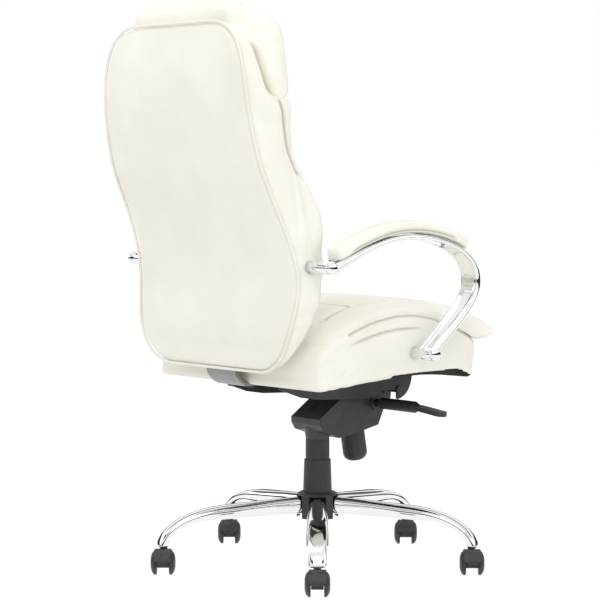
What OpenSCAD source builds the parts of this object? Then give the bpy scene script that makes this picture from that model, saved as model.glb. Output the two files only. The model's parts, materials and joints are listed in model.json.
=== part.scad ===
// High-back swivel office chair: five-leg base, gas lift, tilt mechanism, upholstered seat and
// back, C-shaped arms. Millimetres. +Z is up, the sitter faces -Y, +X is the sitter's left.
// The origin is on the floor, under the column.

/* [Base] */
// Radius from the column to each caster stem
base_r = 330; // [300:1:396]
// Direction of the first leg, counted from +X
base_turn = 138.7; // [0:0.1:360]
// Leg width where it leaves the hub
leg_w_hub = 33; // [28:0.5:34]
// Leg width at its middle
leg_w_mid = 44; // [36:0.5:50]
// Leg width at the caster end
leg_w_tip = 36; // [30:0.5:40]
// Leg height at the hub
leg_h = 37; // [30:0.5:44]
// Height of the leg's top face at the hub
leg_top_z = 146; // [140:1:160]
// Thickness of the leg's walls
leg_wall = 3.5; // [2.5:0.1:5]
// Thickness of the leg's down-turned tip, measured outwards
leg_tip_t = 23; // [20:0.5:28]
// Outer diameter of the steel hub socket
hub_d = 60; // [56:0.5:64]
// Outer diameter of the hub cover
hub_cover_d = 87; // [80:0.5:96]
// Height of the hub cover's lower edge
hub_cover_z = 100; // [94:0.5:104]
// Height of the hub cover's top
hub_cover_top = 154; // [152:0.5:160]

/* [Casters] */
// Wheel diameter
wheel_d = 50; // [44:0.5:60]
// Width over both wheels
caster_w = 50; // [46:0.5:56]
// Free space between the two wheels
wheel_gap = 26; // [24:0.5:30]
// Distance of the wheel axle behind the stem
caster_trail = 18; // [14:0.5:22]
// Direction in which every caster trails at rest
caster_turn = 138.7; // [0:0.1:360]
// Wheel axle diameter
axle_d = 6; // [5:0.5:8]
// Stem diameter in the leg
stem_d = 11; // [10:0.5:12]
// Stem diameter in the hood
stem_low_d = 8; // [7:0.5:9]
// Stem length inside the leg
stem_in_leg = 18; // [14:0.5:19]

/* [Gas lift] */
// Travel of the seat height
lift_stroke = 90; // [60:5:95]
// Outer tube diameter
tube_d = 46; // [44:0.5:46]
// Outer tube wall
tube_wall = 2; // [1.5:0.1:2.5]
// Height of the outer tube's lower end
tube_z = 40; // [36:1:44]
// Height of the outer tube's upper end
tube_top = 222; // [215:1:226]
// Cylinder diameter
cyl_d = 28; // [27:0.5:29]
// Cylinder wall
cyl_wall = 2; // [1.5:0.1:2.5]
// Piston rod diameter
rod_d = 10; // [9:0.5:12]
// Diameter of the release pin in the cylinder's end
pin_d = 8; // [7:0.5:9]

/* [Column cover] */
// Lower stage, diameter at the bottom
cover_low_d = 60; // [58:0.5:64]
// Lower stage, diameter at the top
cover_mid_d = 55.4; // [55:0.1:57]
// Upper stage, diameter
cover_up_d = 49.6; // [49:0.1:50]
// Height of the lower stage's top
cover_low_top = 221; // [216:1:224]
// Wall of each stage
cover_wall = 1.2; // [1:0.1:1.4]

/* [Mechanism] */
// Width of the steel housing
mech_w = 90; // [84:1:96]
// Steel sheet thickness
sheet_t = 3; // [2.5:0.1:4]
// Height of the housing's lower end
mech_z = 263; // [262:1:270]
// Width of the tilting seat plate
plate_w = 176; // [170:1:190]
// Distance of the tilt axle in front of the column
pivot_y = 150; // [145:1:155]
// Height of the tilt axle
pivot_z = 362; // [360:1:366]
// Tilt axle diameter
pivot_d = 12; // [10:0.5:14]
// Largest tilt angle
tilt_max = 12; // [8:1:14]
// Tension knob diameter
knob_d = 53; // [48:0.5:56]
// Tension knob length
knob_l = 65; // [55:1:70]
// Forward lean of the knob and its bolt
knob_lean = 10; // [8:1:12]
// Distance of the knob in front of the column, at the housing's floor
knob_y = 97; // [94:1:100]
// Tension spring wire diameter
spring_wire = 5; // [4:0.5:6]
// Tension spring outer diameter
spring_d = 36; // [32:1:40]
// Number of turns of the tension spring
spring_turns = 6; // [5:1:8]

/* [Lever] */
// Distance of the lever in front of the column
lever_y = 123; // [121:0.5:125]
// Height of the lever
lever_z = 334; // [332:0.5:336]
// Diameter of the lever's thick part
lever_d = 24; // [20:0.4:28.8]
// Distance from the column to the lever's tip
lever_reach = 252; // [230:1:270]

/* [Seat] */
// Overall width of the seat
seat_w = 516; // [430:2:540]
// Height of the seat board's flat underside
board_z = 397; // [396:0.5:399]
// Thickness of the plywood
board_t = 12; // [10:0.4:14.4]
// Rise of the board's side wings
wing_rise = 22; // [15:1:26]
// Width of the top pillow
pillow_w = 500; // [460:2:504]
// Thickness of the top pillow at its middle
pillow_t = 28; // [22:1:34]

/* [Back] */
// Thickness of the upholstered rear panel
panel_t = 8; // [6:0.5:10]
// Thickness of the plywood back shell
shell_t = 14; // [13:0.5:16]
// Margin between the shell's edge and the upholstery's edge
shell_margin = 26; // [20:1:34]
// Width of the steel back bracket
bracket_w = 90; // [80:1:96]
// Thickness of the steel back bracket
bracket_t = 6; // [5:0.5:6]
// Height of the back bracket's upper end
bracket_top = 610; // [590:5:640]

/* [Arms] */
// Distance from the middle to the arm's outer face
arm_x = 320; // [310:1:335]
// Width of the arm bar
arm_w = 50; // [44:1:56]
// Thickness of the arm bar
arm_t = 10; // [8:0.5:12]
// Diameter of the arm's round ends
boss_d = 25; // [24:0.5:30]
// Thickness of the arm pad
pad_t = 30; // [24:1:36]
// Width of the arm pad
pad_w = 54; // [50:1:60]

/* [Fasteners] */
// Bolt diameter
bolt_d = 8; // [6:1:8]
// Bolt head width across its flats
bolt_head = 13; // [12:0.5:14]
// Arm pad screw diameter
screw_d = 5; // [4:0.5:6]

/* [Hidden] */
$fn = 64;

slip = 0.1;      // clearance of parts that are pressed or bolted together
run = 0.05;      // radial clearance of a shaft that turns or slides in its bore
soft_gap = 0.3;  // clearance around upholstery
eps = 0.01;      // overlap that keeps cuts clean
far = 600;       // reach of cutting blocks

leg_angles = [for (k = [0:4]) base_turn + 72 * k];
wheel_r = wheel_d / 2;
hood_r = wheel_r + 3;
hood_top = wheel_r + hood_r;
leg_end_z = hood_top + 2.5;
stem_top = leg_end_z + stem_in_leg;
tube_r = tube_d / 2;
cyl_r = cyl_d / 2;
rod_r = rod_d / 2;
pin_r = pin_d / 2;
tube_floor = 4;
bearing_z = tube_z + tube_floor;
bearing_h = 6;
rod_flange_z = bearing_z + bearing_h + slip;
rod_flange_t = 2;
cyl_z = rod_flange_z + rod_flange_t + 2;
cyl_top = 304;
gland_t = 10;
piston_z = cyl_z + gland_t + lift_stroke + 2;
piston_t = 9;
pin_top = cyl_top + 8;
knob_z = 275;
floor_pad_t = 10;
spring_low = floor_pad_t + slip;
spring_high = 106;
finger_r = 5;
finger_z = pin_top + slip + finger_r;
collar_lip = 4;
collar_in = 9;
crank_x = -mech_w / 2 + collar_in + 3;
board_x = seat_w / 2 - 16;
board_y = 205;
flat_x = 120;
plate_y0 = -188;
plate_y1 = 178;
step_y = 60;
bolt_r = bolt_d / 2;
plate_bolts = [[-70, -150], [70, -150], [-30, 120], [30, 120], [-30, 205], [30, 205]];
back_bolt_z = [500, 560];
back_bolt_gap = 0.7;   // the heads stand off the curved bracket by this much
back_bolt_head = 3.5;
bracket_low = 484;     // below this height the bracket leaves the shell
boss_r = boss_d / 2;
boss_back = [240, 637];
boss_front = [-33, 457.5];
boss_back_x = 252.6;
boss_front_x = seat_w / 2 + 0.6;
bracket_x = seat_w / 2 - 21;
screw_at = [95, -70];

// ---------- helpers ----------

// Points on a cubic curve, without its last point
function curve(a, b, c, d, n = 8) = [for (i = [0:n - 1]) let (t = i / n, u = 1 - t)
    u * u * u * a + 3 * u * u * t * b + 3 * u * t * t * c + t * t * t * d];
function unit(v) = v / norm(v);
function reversed(list) = [for (i = [len(list) - 1:-1:0]) list[i]];
function shifted(list, by) = [for (p = list) p + by];
function lifted(list, by) = [for (p = list) [p[0], p[1] + by]];
// The path moved sideways: positive is to the left of its direction
function beside(path, by) = [for (i = [0:len(path) - 1])
    let (a = path[max(i - 1, 0)], b = path[min(i + 1, len(path) - 1)], t = unit(b - a))
    path[i] + by * [-t[1], t[0]]];
function band(path, a, b) = concat(beside(path, a), reversed(beside(path, b)));
function mirrored(half) = concat(half, [for (p = reversed(half)) [-p[0], p[1]]]);

// A side profile given as [y, z], extruded across x
module across(x0, x1) {
    translate([x0, 0, 0]) rotate([90, 0, 90]) linear_extrude(x1 - x0) children();
}
// A front outline given as [x, z], extruded along y
module along(y0, y1) {
    translate([0, y1, 0]) rotate([90, 0, 0]) linear_extrude(y1 - y0) children();
}
module tube(r_out, r_in, z0, z1) {
    translate([0, 0, z0]) difference() {
        cylinder(r = r_out, h = z1 - z0);
        translate([0, 0, -1]) cylinder(r = r_in, h = z1 - z0 + 2);
    }
}
module rod(r, z0, z1) {
    translate([0, 0, z0]) cylinder(r = r, h = z1 - z0);
}
// A rod along x
module x_rod(r, x0, x1) {
    translate([x0, 0, 0]) rotate([0, 90, 0]) cylinder(r = r, h = x1 - x0);
}
module block(lo, hi) {
    translate(lo) cube(hi - lo);
}
module at_stem(k) {
    a = leg_angles[k - 1];
    translate([base_r * cos(a), base_r * sin(a), 0]) children();
}
// The tension knob's axis, with its origin on the housing's floor
module knob_axis() {
    translate([0, -knob_y, knob_z]) rotate([-knob_lean, 0, 0]) children();
}

// ---------- base ----------

leg_tip_out = base_r + leg_tip_t / 2 + 3;
leg_tip_in = leg_tip_out - leg_tip_t;
leg_bend_r = base_r - 130;
leg_top = concat(
    [[hub_d / 2 - 8, leg_top_z]],
    curve([leg_bend_r, leg_top_z - 12.5], [leg_bend_r + 75, leg_top_z - 18],
          [leg_tip_out - 10, leg_top_z - 46], [leg_tip_out, leg_end_z], 12),
    [[leg_tip_out, leg_end_z]]);
leg_low = concat(
    [[hub_d / 2 - 8, leg_top_z - leg_h]],
    curve([leg_bend_r + 45, leg_top_z - leg_h - 5], [leg_bend_r + 85, leg_top_z - leg_h - 6],
          [leg_tip_in - 4, leg_end_z + 27], [leg_tip_in, leg_end_z], 10),
    [[leg_tip_in, leg_end_z]]);
leg_side = concat(
    curve([0, leg_w_hub / 2], [leg_bend_r / 2, leg_w_hub / 2], [leg_bend_r / 2, leg_w_mid / 2],
          [leg_bend_r, leg_w_mid / 2], 8),
    curve([leg_bend_r, leg_w_mid / 2], [leg_bend_r + 60, leg_w_mid / 2],
          [leg_tip_out - 40, leg_w_tip / 2], [leg_tip_out + 1, leg_w_tip / 2], 6),
    [[leg_tip_out + 1, leg_w_tip / 2]]);

module leg_plan(inset) {
    side = [for (p = leg_side) [p[0], p[1] - inset]];
    polygon(concat(side, [for (p = reversed(side)) [p[0], -p[1]]]));
}

module leg(k) {
    color([0.82, 0.83, 0.85])
    rotate([0, 0, leg_angles[k - 1]]) difference() {
        intersection() {
            rotate([90, 0, 0]) linear_extrude(80, center = true)
                polygon(concat(leg_top, reversed(leg_low)));
            linear_extrude(leg_top_z + 10) leg_plan(0);
        }
        // open underside
        intersection() {
            rotate([90, 0, 0]) linear_extrude(80, center = true)
                polygon(concat([[hub_cover_d / 2 + 12, 60]],
                               [for (p = leg_top) if (p[0] < base_r - 40)
                                   [max(p[0], hub_cover_d / 2 + 12), p[1] - leg_wall]],
                               [[base_r - 34, 60]]));
            linear_extrude(leg_top_z) leg_plan(leg_wall);
        }
        rod(hub_d / 2 + slip, 0, leg_top_z + 20);
        translate([base_r, 0, 0]) rod(stem_d / 2 + run, 0, stem_top + 0.5);
    }
}

module hub_socket() {
    color([0.6, 0.6, 0.62]) tube(hub_d / 2, tube_r + slip, hub_cover_z + 4, leg_top_z);
}

module hub_cover() {
    r = hub_cover_d / 2;
    wall = 2.5;
    round_r = 12;
    color([0.16, 0.16, 0.17])
    difference() {
        rotate_extrude() difference() {
            union() {
                translate([0, hub_cover_z]) square([r, hub_cover_top - round_r - hub_cover_z]);
                translate([0, hub_cover_top - round_r - eps]) square([r - round_r, round_r + eps]);
                translate([r - round_r, hub_cover_top - round_r]) circle(r = round_r);
            }
            translate([0, hub_cover_z - 1])
                square([r - wall, hub_cover_top - round_r - hub_cover_z + 1]);
            translate([0, hub_cover_top - round_r - 1]) square([r - round_r, round_r - wall + 1]);
            square([tube_r + 0.5, far]);
        }
        for (a = leg_angles) rotate([0, 0, a])
            block([hub_d / 2 - 4, -leg_w_hub / 2 - 1.2, 0], [r + 5, leg_w_hub / 2 + 1.2, leg_top_z + 0.6]);
    }
}

module caster_stems() {
    color([0.7, 0.7, 0.72])
    for (k = [1:5]) at_stem(k) difference() {
        union() {
            rod(stem_low_d / 2, wheel_r + 4, hood_top + 0.4);
            rod(stem_d / 2 + 2, hood_top + 0.3, leg_end_z - slip);
            rod(stem_d / 2, leg_end_z - slip - eps, stem_top);
        }
        // groove of the grip ring
        translate([0, 0, stem_top - 6]) tube(stem_d, stem_d / 2 - 0.8, 0, 2);
    }
}

// ---------- casters ----------

// One caster's own frame: the axle runs along x and passes through the origin
module at_axle(k) {
    at_stem(k) rotate([0, 0, caster_turn - 90]) translate([0, caster_trail, wheel_r]) children();
}

module caster_hood(k) {
    web = wheel_gap / 2 - 0.8;
    cover = caster_w / 2 - 8;
    color([0.17, 0.17, 0.18]) {
        difference() {
            union() {
                at_axle(k) {
                    // web between the wheels
                    rotate([90, 0, 90]) translate([0, 0, -web]) difference() {
                        cylinder(r = hood_r - 0.5, h = 2 * web);
                        translate([-far, -far, -1]) cube([2 * far, far, 2 * web + 2]);
                    }
                    x_rod(11, -web, web);
                    // hood over the treads
                    rotate([90, 0, 90]) rotate([0, 0, 10]) translate([0, 0, -cover])
                        rotate_extrude(angle = 150)
                            translate([wheel_r + 0.8, 0]) square([hood_r - wheel_r - 0.8, 2 * cover]);
                }
                at_stem(k) rod(stem_low_d / 2 + 3.5, wheel_r - 8, hood_top);
            }
            at_stem(k) rod(stem_low_d / 2 + run, wheel_r + 3, hood_top + 1);
            at_axle(k) x_rod(axle_d / 2 + slip, -far / 2, far / 2);
        }
        at_axle(k) x_rod(axle_d / 2, 3.5 - caster_w / 2, caster_w / 2 - 3.5);
    }
}

module caster_wheel(k, side) {
    inner = wheel_gap / 2;
    outer = caster_w / 2;
    color([0.13, 0.13, 0.14])
    at_axle(k) mirror([side == "a" ? 0 : 1, 0, 0]) rotate([0, 90, 0]) rotate_extrude()
        polygon(concat(
            [[axle_d / 2 + run, inner], [wheel_r - 1, inner], [wheel_r, inner + 1]],
            curve([wheel_r, inner + 4], [wheel_r - 3, outer - 3], [wheel_r - 9, outer],
                  [6, outer], 6),
            [[0, outer], [0, outer - 3], [axle_d / 2 + run, outer - 3]]));
}

// ---------- gas lift ----------

module lift_outer_tube() {
    color([0.2, 0.2, 0.21]) {
        tube(tube_r, tube_r - tube_wall, tube_z + tube_floor - eps, tube_top);
        tube(tube_r, rod_r + 0.5, tube_z, tube_z + tube_floor);
    }
}

module lift_guide_bush() {
    color([0.85, 0.84, 0.8]) tube(tube_r - tube_wall - slip, cyl_r + run, tube_top - 85, tube_top - 2);
}

module lift_cylinder() {
    color([0.3, 0.3, 0.32]) difference() {
        rod(cyl_r, cyl_z, cyl_top);
        rod(cyl_r - cyl_wall, cyl_z + gland_t, cyl_top - 18);
        rod(rod_r + run, cyl_z - 1, cyl_z + gland_t + 1);
        rod(pin_r + run, cyl_top - 19, cyl_top + 1);
    }
}

module lift_piston_rod() {
    color([0.75, 0.76, 0.78]) difference() {
        union() {
            rod(rod_r, tube_z - 4, piston_z + 1);
            rod(rod_r + 4, rod_flange_z, rod_flange_z + rod_flange_t);
            rod(cyl_r - cyl_wall - run, piston_z, piston_z + piston_t);
        }
        // groove of the retaining clip
        tube(rod_r + 2, rod_r - 1, tube_z - 2, tube_z - 0.6);
    }
}

module lift_thrust_bearing() {
    washer = 1;
    ball_r = (bearing_h - 2 * washer) / 2 - run;
    track = rod_r + 5;
    color([0.78, 0.78, 0.8]) {
        tube(track + 3, rod_r + 0.3, bearing_z, bearing_z + washer);
        tube(track + 3, rod_r + 0.3, bearing_z + bearing_h - washer, bearing_z + bearing_h);
        for (a = [0:36:324]) rotate([0, 0, a])
            translate([track, 0, bearing_z + bearing_h / 2]) sphere(r = ball_r, $fn = 24);
    }
}

module lift_clip() {
    color([0.55, 0.55, 0.57]) difference() {
        tube(rod_r + 4, rod_r - 1 + run, tube_z - 1.9, tube_z - 0.7);
        block([-2.5, 0, 0], [2.5, far, tube_z]);
    }
}

module lift_release_pin() {
    color([0.7, 0.7, 0.72]) {
        rod(pin_r, cyl_top - 40, pin_top);
        rod(pin_r + 2, cyl_top - 30, cyl_top - 26);
    }
}

// ---------- column cover ----------

module cover_lower() {
    h = cover_low_top - hub_cover_top - slip;
    color([0.19, 0.19, 0.2]) translate([0, 0, hub_cover_top + slip]) difference() {
        cylinder(d1 = cover_low_d, d2 = cover_mid_d, h = h);
        translate([0, 0, -eps])
            cylinder(d1 = cover_low_d - 2 * cover_wall, d2 = cover_mid_d - 2 * cover_wall, h = h + 2 * eps);
    }
}

module cover_middle() {
    // the middle stage fills the space between the other two with equal gaps
    gap = 0.35;
    r_in = cover_up_d / 2 + gap;
    r_out = cover_mid_d / 2 - cover_wall - gap;
    color([0.17, 0.17, 0.18]) tube(r_out, r_in, hub_cover_top + 1, cover_low_top - 1);
}

module cover_upper() {
    reach = lift_stroke + 3;
    color([0.19, 0.19, 0.2]) {
        tube(cover_up_d / 2, cover_up_d / 2 - cover_wall, mech_z - reach, mech_z - slip);
        tube(cover_up_d / 2 - cover_wall + eps, cyl_r + 0.3, mech_z - slip - 3, mech_z - slip);
    }
}

// ---------- tilt mechanism ----------

housing_side = [
    [34, mech_z + 46], [33, mech_z + 34], [24, mech_z + 20], [-20, mech_z + 4], [-60, knob_z - 3],
    [-knob_y - 34, knob_z + 12], [-lever_y - 22, knob_z + 42], [-pivot_y - 16, pivot_z - 20],
    [-pivot_y - 18, pivot_z + 6], [-pivot_y - 8, pivot_z + 14], [-pivot_y + 30, pivot_z + 12],
    [-36, mech_z + 93]];

module mech_housing() {
    x = mech_w / 2;
    color([0.18, 0.18, 0.19]) difference() {
        union() {
            difference() {
                across(-x, x) polygon(housing_side);
                // hollow inside, open at the top under the seat plate, with a sloping lid behind it
                across(-x + sheet_t, x - sheet_t) polygon([
                    [29, mech_z + 45], [29, mech_z + 36], [21, mech_z + 24], [-20, mech_z + 8],
                    [-60, knob_z + 1],
                    [-knob_y - 32, knob_z + 16], [-lever_y - 19, knob_z + 44],
                    [-pivot_y - 13, pivot_z - 18], [-pivot_y - 15, pivot_z + 60],
                    [-40, pivot_z + 60], [-40, mech_z + 92]]);
            }
            // socket of the gas lift
            translate([0, 0, mech_z]) cylinder(r1 = cyl_r + 10, r2 = cyl_r + 15, h = 26);
            rod(cyl_r + 7, mech_z, cyl_top);
            // floor under the tension spring
            knob_axis() rod(knob_d / 2 + 2, 0, floor_pad_t);
            // bushes of the tilt axle
            translate([0, -pivot_y, pivot_z]) for (s = [-1, 1]) scale([s, 1, 1])
                x_rod(pivot_d / 2 + 4, x - 8, x + 6);
        }
        rod(cyl_r + slip, mech_z - 1, cyl_top + 1);
        knob_axis() rod(6, -10, floor_pad_t + 1);
        translate([0, -pivot_y, pivot_z]) x_rod(pivot_d / 2 + run, -far, far);
        // hole of the lever collar
        translate([0, -lever_y, lever_z]) x_rod(lever_d / 2 + 1 + run, -x - 5, -x + 10);
        // the seat of the knob stays below its own floor
        knob_axis() rod(knob_d / 2 + 3, -30, -slip);
    }
}

plate_cheek = concat(
    [[plate_y1, board_z - 7.5], [plate_y1, 384], [120, 364], [77, 357], [-60, 350], [-98, 352],
     [-101, 363], [-143, 363], [-143, 345]],
    curve([-146, 342.5], [-165, 346], [-184, 358], [plate_y0, board_z - 1.5], 8),
    [[plate_y0, board_z - 1.5]]);

module seat_plate() {
    x = plate_w / 2;
    color([0.17, 0.17, 0.18]) difference() {
        union() {
            block([-x, plate_y0, board_z - sheet_t], [x, step_y, board_z - slip]);
            block([-x, step_y - sheet_t, board_z - bracket_t - sheet_t - slip],
                  [x, step_y, board_z - slip]);
            block([-x, step_y - sheet_t, board_z - bracket_t - sheet_t - slip],
                  [x, plate_y1, board_z - bracket_t - 2 * slip]);
            for (s = [-1, 1]) scale([s, 1, 1]) difference() {
                across(x - sheet_t, x) polygon(plate_cheek);
                block([0, step_y, board_z - bracket_t - 1], [x + 1, far, far]);
            }
            // upper seat of the tension spring
            intersection() {
                knob_axis() rod(spring_d / 2, spring_high + slip, spring_high + 30);
                block([-60, -150, 300], [60, 0, board_z - 1]);
            }
        }
        translate([0, -pivot_y, pivot_z]) x_rod(pivot_d / 2 + slip, -far, far);
        for (b = plate_bolts) translate([b[0], b[1], 0]) rod(bolt_r + 0.3, 300, far);
    }
}

module tilt_axle() {
    x = plate_w / 2;
    color([0.6, 0.6, 0.62]) translate([0, -pivot_y, pivot_z]) {
        x_rod(pivot_d / 2, -x - 4, x + 4);
        x_rod(pivot_d / 2 + 3, -x - 4, -x - slip);
        x_rod(pivot_d / 2 + 3, x + slip, x + 4);
    }
}

// A wire swept along a helix
module tension_spring() {
    sides = 8;
    per_turn = 12;
    wire_r = spring_wire / 2;
    coil_r = spring_d / 2 - wire_r;
    n = spring_turns * per_turn;
    z0 = spring_low + wire_r + slip;
    rise = spring_high - spring_wire - spring_low - 2 * slip;
    // the first and the last turn are wound closed
    end_rise = spring_wire + slip;
    open_rise = (rise - 2 * end_rise) / (spring_turns - 2);
    function height(u) = u < 1 ? end_rise * u
        : u > spring_turns - 1 ? rise - end_rise * (spring_turns - u)
        : end_rise + open_rise * (u - 1);
    points = [for (i = [0:n], j = [0:sides - 1])
        let (a = 360 * i / per_turn, b = 360 * j / sides, r = coil_r + wire_r * cos(b))
        [r * cos(a), r * sin(a), z0 + height(i / per_turn) + wire_r * sin(b)]];
    start = [[for (j = [0:sides - 1]) j]];
    end = [[for (j = [sides - 1:-1:0]) n * sides + j]];
    skin = [for (i = [0:n - 1], j = [0:sides - 1]) let (k = (j + 1) % sides)
        [i * sides + j, (i + 1) * sides + j, (i + 1) * sides + k, i * sides + k]];
    color([0.62, 0.62, 0.65]) knob_axis()
        polyhedron(points, concat(start, skin, end), convexity = 10);
}

module tension_bolt() {
    // the spring's upper seat comes down towards the bolt as the seat tilts
    bolt_top = spring_high - (pivot_y - knob_y) * sin(tilt_max) - 7;
    color([0.7, 0.7, 0.72]) knob_axis() {
        rod(5, -knob_l + 12, bolt_top);
        translate([0, 0, -knob_l + 8]) cylinder(r = 9.8, h = 7, $fn = 6);
    }
}

module tension_knob() {
    r = knob_d / 2;
    round_r = 16;
    color([0.2, 0.2, 0.21]) knob_axis() difference() {
        rotate_extrude() {
            translate([0, -knob_l]) square([r - round_r, knob_l - 0.5]);
            translate([0, -knob_l + round_r]) square([r - 1, knob_l - round_r - 0.5]);
            translate([r - 1 - round_r, -knob_l + round_r]) intersection() {
                circle(r = round_r);
                translate([0, -round_r]) square([round_r, round_r]);
            }
        }
        for (a = [0:30:330]) rotate([0, 0, a]) translate([r + 3, 0, 0]) rod(4.6, -knob_l + 14, -8);
        rod(5 + slip, -knob_l + 9, 1);
        translate([0, 0, -knob_l + 7.9]) cylinder(r = 9.9, h = 7.2, $fn = 6);
    }
}

// ---------- lever ----------

module at_lever() {
    translate([0, -lever_y, lever_z]) children();
}

module lever_collar() {
    x = mech_w / 2;
    color([0.22, 0.22, 0.23]) at_lever() difference() {
        union() {
            x_rod(lever_d / 2 + 1, -x - collar_lip, -x + collar_in);
            x_rod(lever_d / 2 + 4, -x - collar_lip, -x - slip);
        }
        x_rod(8, -x - collar_lip - 1, -x + collar_in + 1);
    }
}

module height_lever() {
    neck = 176;
    root = 66;
    color([0.16, 0.16, 0.17]) at_lever() {
        // thick grip with a rounded shoulder
        x_rod(lever_d / 2, -neck + 12, -root);
        translate([-neck + 12, 0, 0]) rotate([0, -90, 0]) cylinder(r1 = lever_d / 2, r2 = 6, h = 14);
        // paddle, drooping slightly
        translate([-neck, 0, 0]) rotate([0, -6, 0]) difference() {
            block([-(lever_reach - neck), -13, -5], [4, 13, 4]);
            for (s = [-1, 1]) scale([1, s, 1]) translate([-(lever_reach - neck) + 13, 0, -10])
                difference() {
                    block([-20, 0, 0], [0, 20, 20]);
                    cylinder(r = 13, h = 20);
                }
        }
        // steel rod, cranked back to the release pin
        x_rod(5, -root - 10, crank_x + 4);
        block([crank_x, -4, -21], [crank_x + 6, 6, 5]);
        block([crank_x, -4, -21], [crank_x + 6, lever_y + 4, -13]);
        block([crank_x, lever_y - 4, -16], [6, lever_y + 4, -12]);
    }
    color([0.16, 0.16, 0.17]) translate([0, 6, finger_z]) rotate([90, 0, 0])
        cylinder(r = finger_r, h = 12);
}

// ---------- seat ----------

// The board's underside as [x, z], raised at both sides
board_low = concat([[-board_x, board_z + wing_rise], [-flat_x, board_z]],
                   [[flat_x, board_z], [board_x, board_z + wing_rise]]);

module board_space(grow, y) {
    along(-y, y) polygon(concat(lifted(board_low, -grow), reversed(lifted(board_low, board_t + grow))));
}

// Outline of the seat seen from above
module seat_plan(w, y0, y1, r) {
    x = w / 2;
    polygon(mirrored(concat(
        curve([0, y0 - 14], [x * 0.5, y0 - 14], [x - r * 0.5, y0 - 8], [x - r * 0.25, y0 + r * 0.6], 8),
        curve([x - r * 0.25, y0 + r * 0.6], [x, y0 + r], [x, y0 + r * 1.5], [x, y0 + r * 2], 4),
        [[x, y1 - r * 0.5], [x - r * 0.15, y1 - r * 0.15], [x - r * 0.5, y1], [0, y1]])));
}

module seat_board() {
    color([0.72, 0.58, 0.4]) difference() {
        board_space(0, board_y);
        for (b = plate_bolts) translate([b[0], b[1], 0]) {
            rod(bolt_r + 1 + slip, 300, far);
            rod(11 + slip, board_z + board_t - 1.5 - slip, far);
        }
    }
}

// Parting curve between the lower cushion and the pillow, as [y, z] from rear to front
seam_z = 538;
seat_seam = concat(
    curve([212, 470], [170, 496], [90, seam_z], [-16, seam_z], 8),
    curve([-16, seam_z], [-100, seam_z], [-170, 505], [-226, 476], 6));

module seat_cushion() {
    front = -236;
    color([0.95, 0.94, 0.89]) difference() {
        intersection() {
            across(-seat_w / 2, seat_w / 2) polygon(concat(
                [[220, board_z + 3], [223, 440], [218, 462]],
                lifted(seat_seam, -soft_gap / 2),
                curve([-226, 476], [front - 4, 462], [front - 6, 420], [front + 20, 402], 6),
                [[front + 26, board_z + 3]]));
            linear_extrude(far) seat_plan(seat_w, -238, 224, 60);
        }
        board_space(soft_gap, board_y + soft_gap);
        dust_space(soft_gap);
        // arched lower edge along each side
        for (s = [-1, 1]) scale([s, 1, 1]) intersection() {
            along(-far, far) polygon([[flat_x, 300], [flat_x, board_z], [board_x, board_z + wing_rise],
                                      [seat_w, board_z + wing_rise + 4], [seat_w, 300]]);
            across(0, seat_w) polygon(concat([[160, 300], [-190, 300]],
                curve([-190, 404], [-150, 432], [90, 432], [160, 402], 8)));
        }
        // pockets of the arm brackets and bolts, and of the tee nuts
        for (s = [-1, 1]) scale([s, 1, 1]) {
            block([bracket_x - 59, boss_front[0] - 22, 380],
                  [bracket_x + 1, boss_front[0] + 22, boss_front[1] + 16]);
            translate([0, boss_front[0], boss_front[1]]) x_rod(bolt_r + 0.5, bracket_x - 7, far);
        }
        for (b = plate_bolts) translate([b[0], b[1], 0]) rod(11.4, 300, board_z + board_t + 3);
        block([-far, board_y - eps, 0], [far, board_y + 10, board_z + board_t]);
    }
}

module seat_pillow() {
    tip = -306;
    color([0.97, 0.96, 0.92]) intersection() {
        across(-pillow_w / 2, pillow_w / 2) polygon(concat(
            reversed(lifted(concat(seat_seam, [[-232, 473]]), soft_gap / 2)),
            curve([206, 478], [150, seam_z + 16], [60, seam_z + pillow_t], [-40, seam_z + pillow_t], 8),
            curve([-40, seam_z + pillow_t], [-150, seam_z + pillow_t], [tip + 10, seam_z + 2],
                  [tip, 497], 8),
            curve([tip, 497], [tip, 486], [-275, 478], [-240, 474], 6)));
        linear_extrude(far) seat_plan(pillow_w, tip + 14, 208, 70);
    }
}

// The dust cover's sheet, stretched under the board
module dust_space(grow) {
    along(-board_y - grow, board_y + grow)
        polygon(concat(lifted(board_low, -1.2 - grow), reversed(lifted(board_low, -0.2 + grow))));
}

module dust_cover() {
    color([0.12, 0.12, 0.12]) difference() {
        dust_space(0);
        block([-plate_w / 2 - 4, plate_y0 - 4, 0], [plate_w / 2 + 4, far, far]);
    }
}

// The head's lower face is at the origin and the shank points up
module hex_bolt(length, head_h = 5.5) {
    rod(bolt_r, 0, length);
    translate([0, 0, -head_h]) cylinder(d = bolt_head / cos(30), h = head_h + eps, $fn = 6);
}

module frame_bolts() {
    color([0.25, 0.25, 0.26]) {
        for (b = plate_bolts) {
            low = b[1] < 0 ? board_z - sheet_t : b[1] < plate_y1 ? board_z - bracket_t - sheet_t - slip
                : board_z - bracket_t - slip;
            translate([b[0], b[1], low - slip]) hex_bolt(board_z + board_t - low - 1);
        }
        for (z = back_bolt_z) translate([0, rear_y(z) - panel_t + back_bolt_gap, z]) rotate([90, 0, 0])
            hex_bolt(shell_t, back_bolt_head);
    }
}

module tee_nuts() {
    color([0.7, 0.68, 0.6])
    for (b = plate_bolts) translate([b[0], b[1], 0]) difference() {
        union() {
            rod(bolt_r + 1, board_z + 3, board_z + board_t - 1);
            rod(11, board_z + board_t - 1.5, board_z + board_t - 0.1);
        }
        rod(bolt_r + slip, board_z, board_z + board_t + 1);
    }
}

// ---------- back ----------

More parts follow.
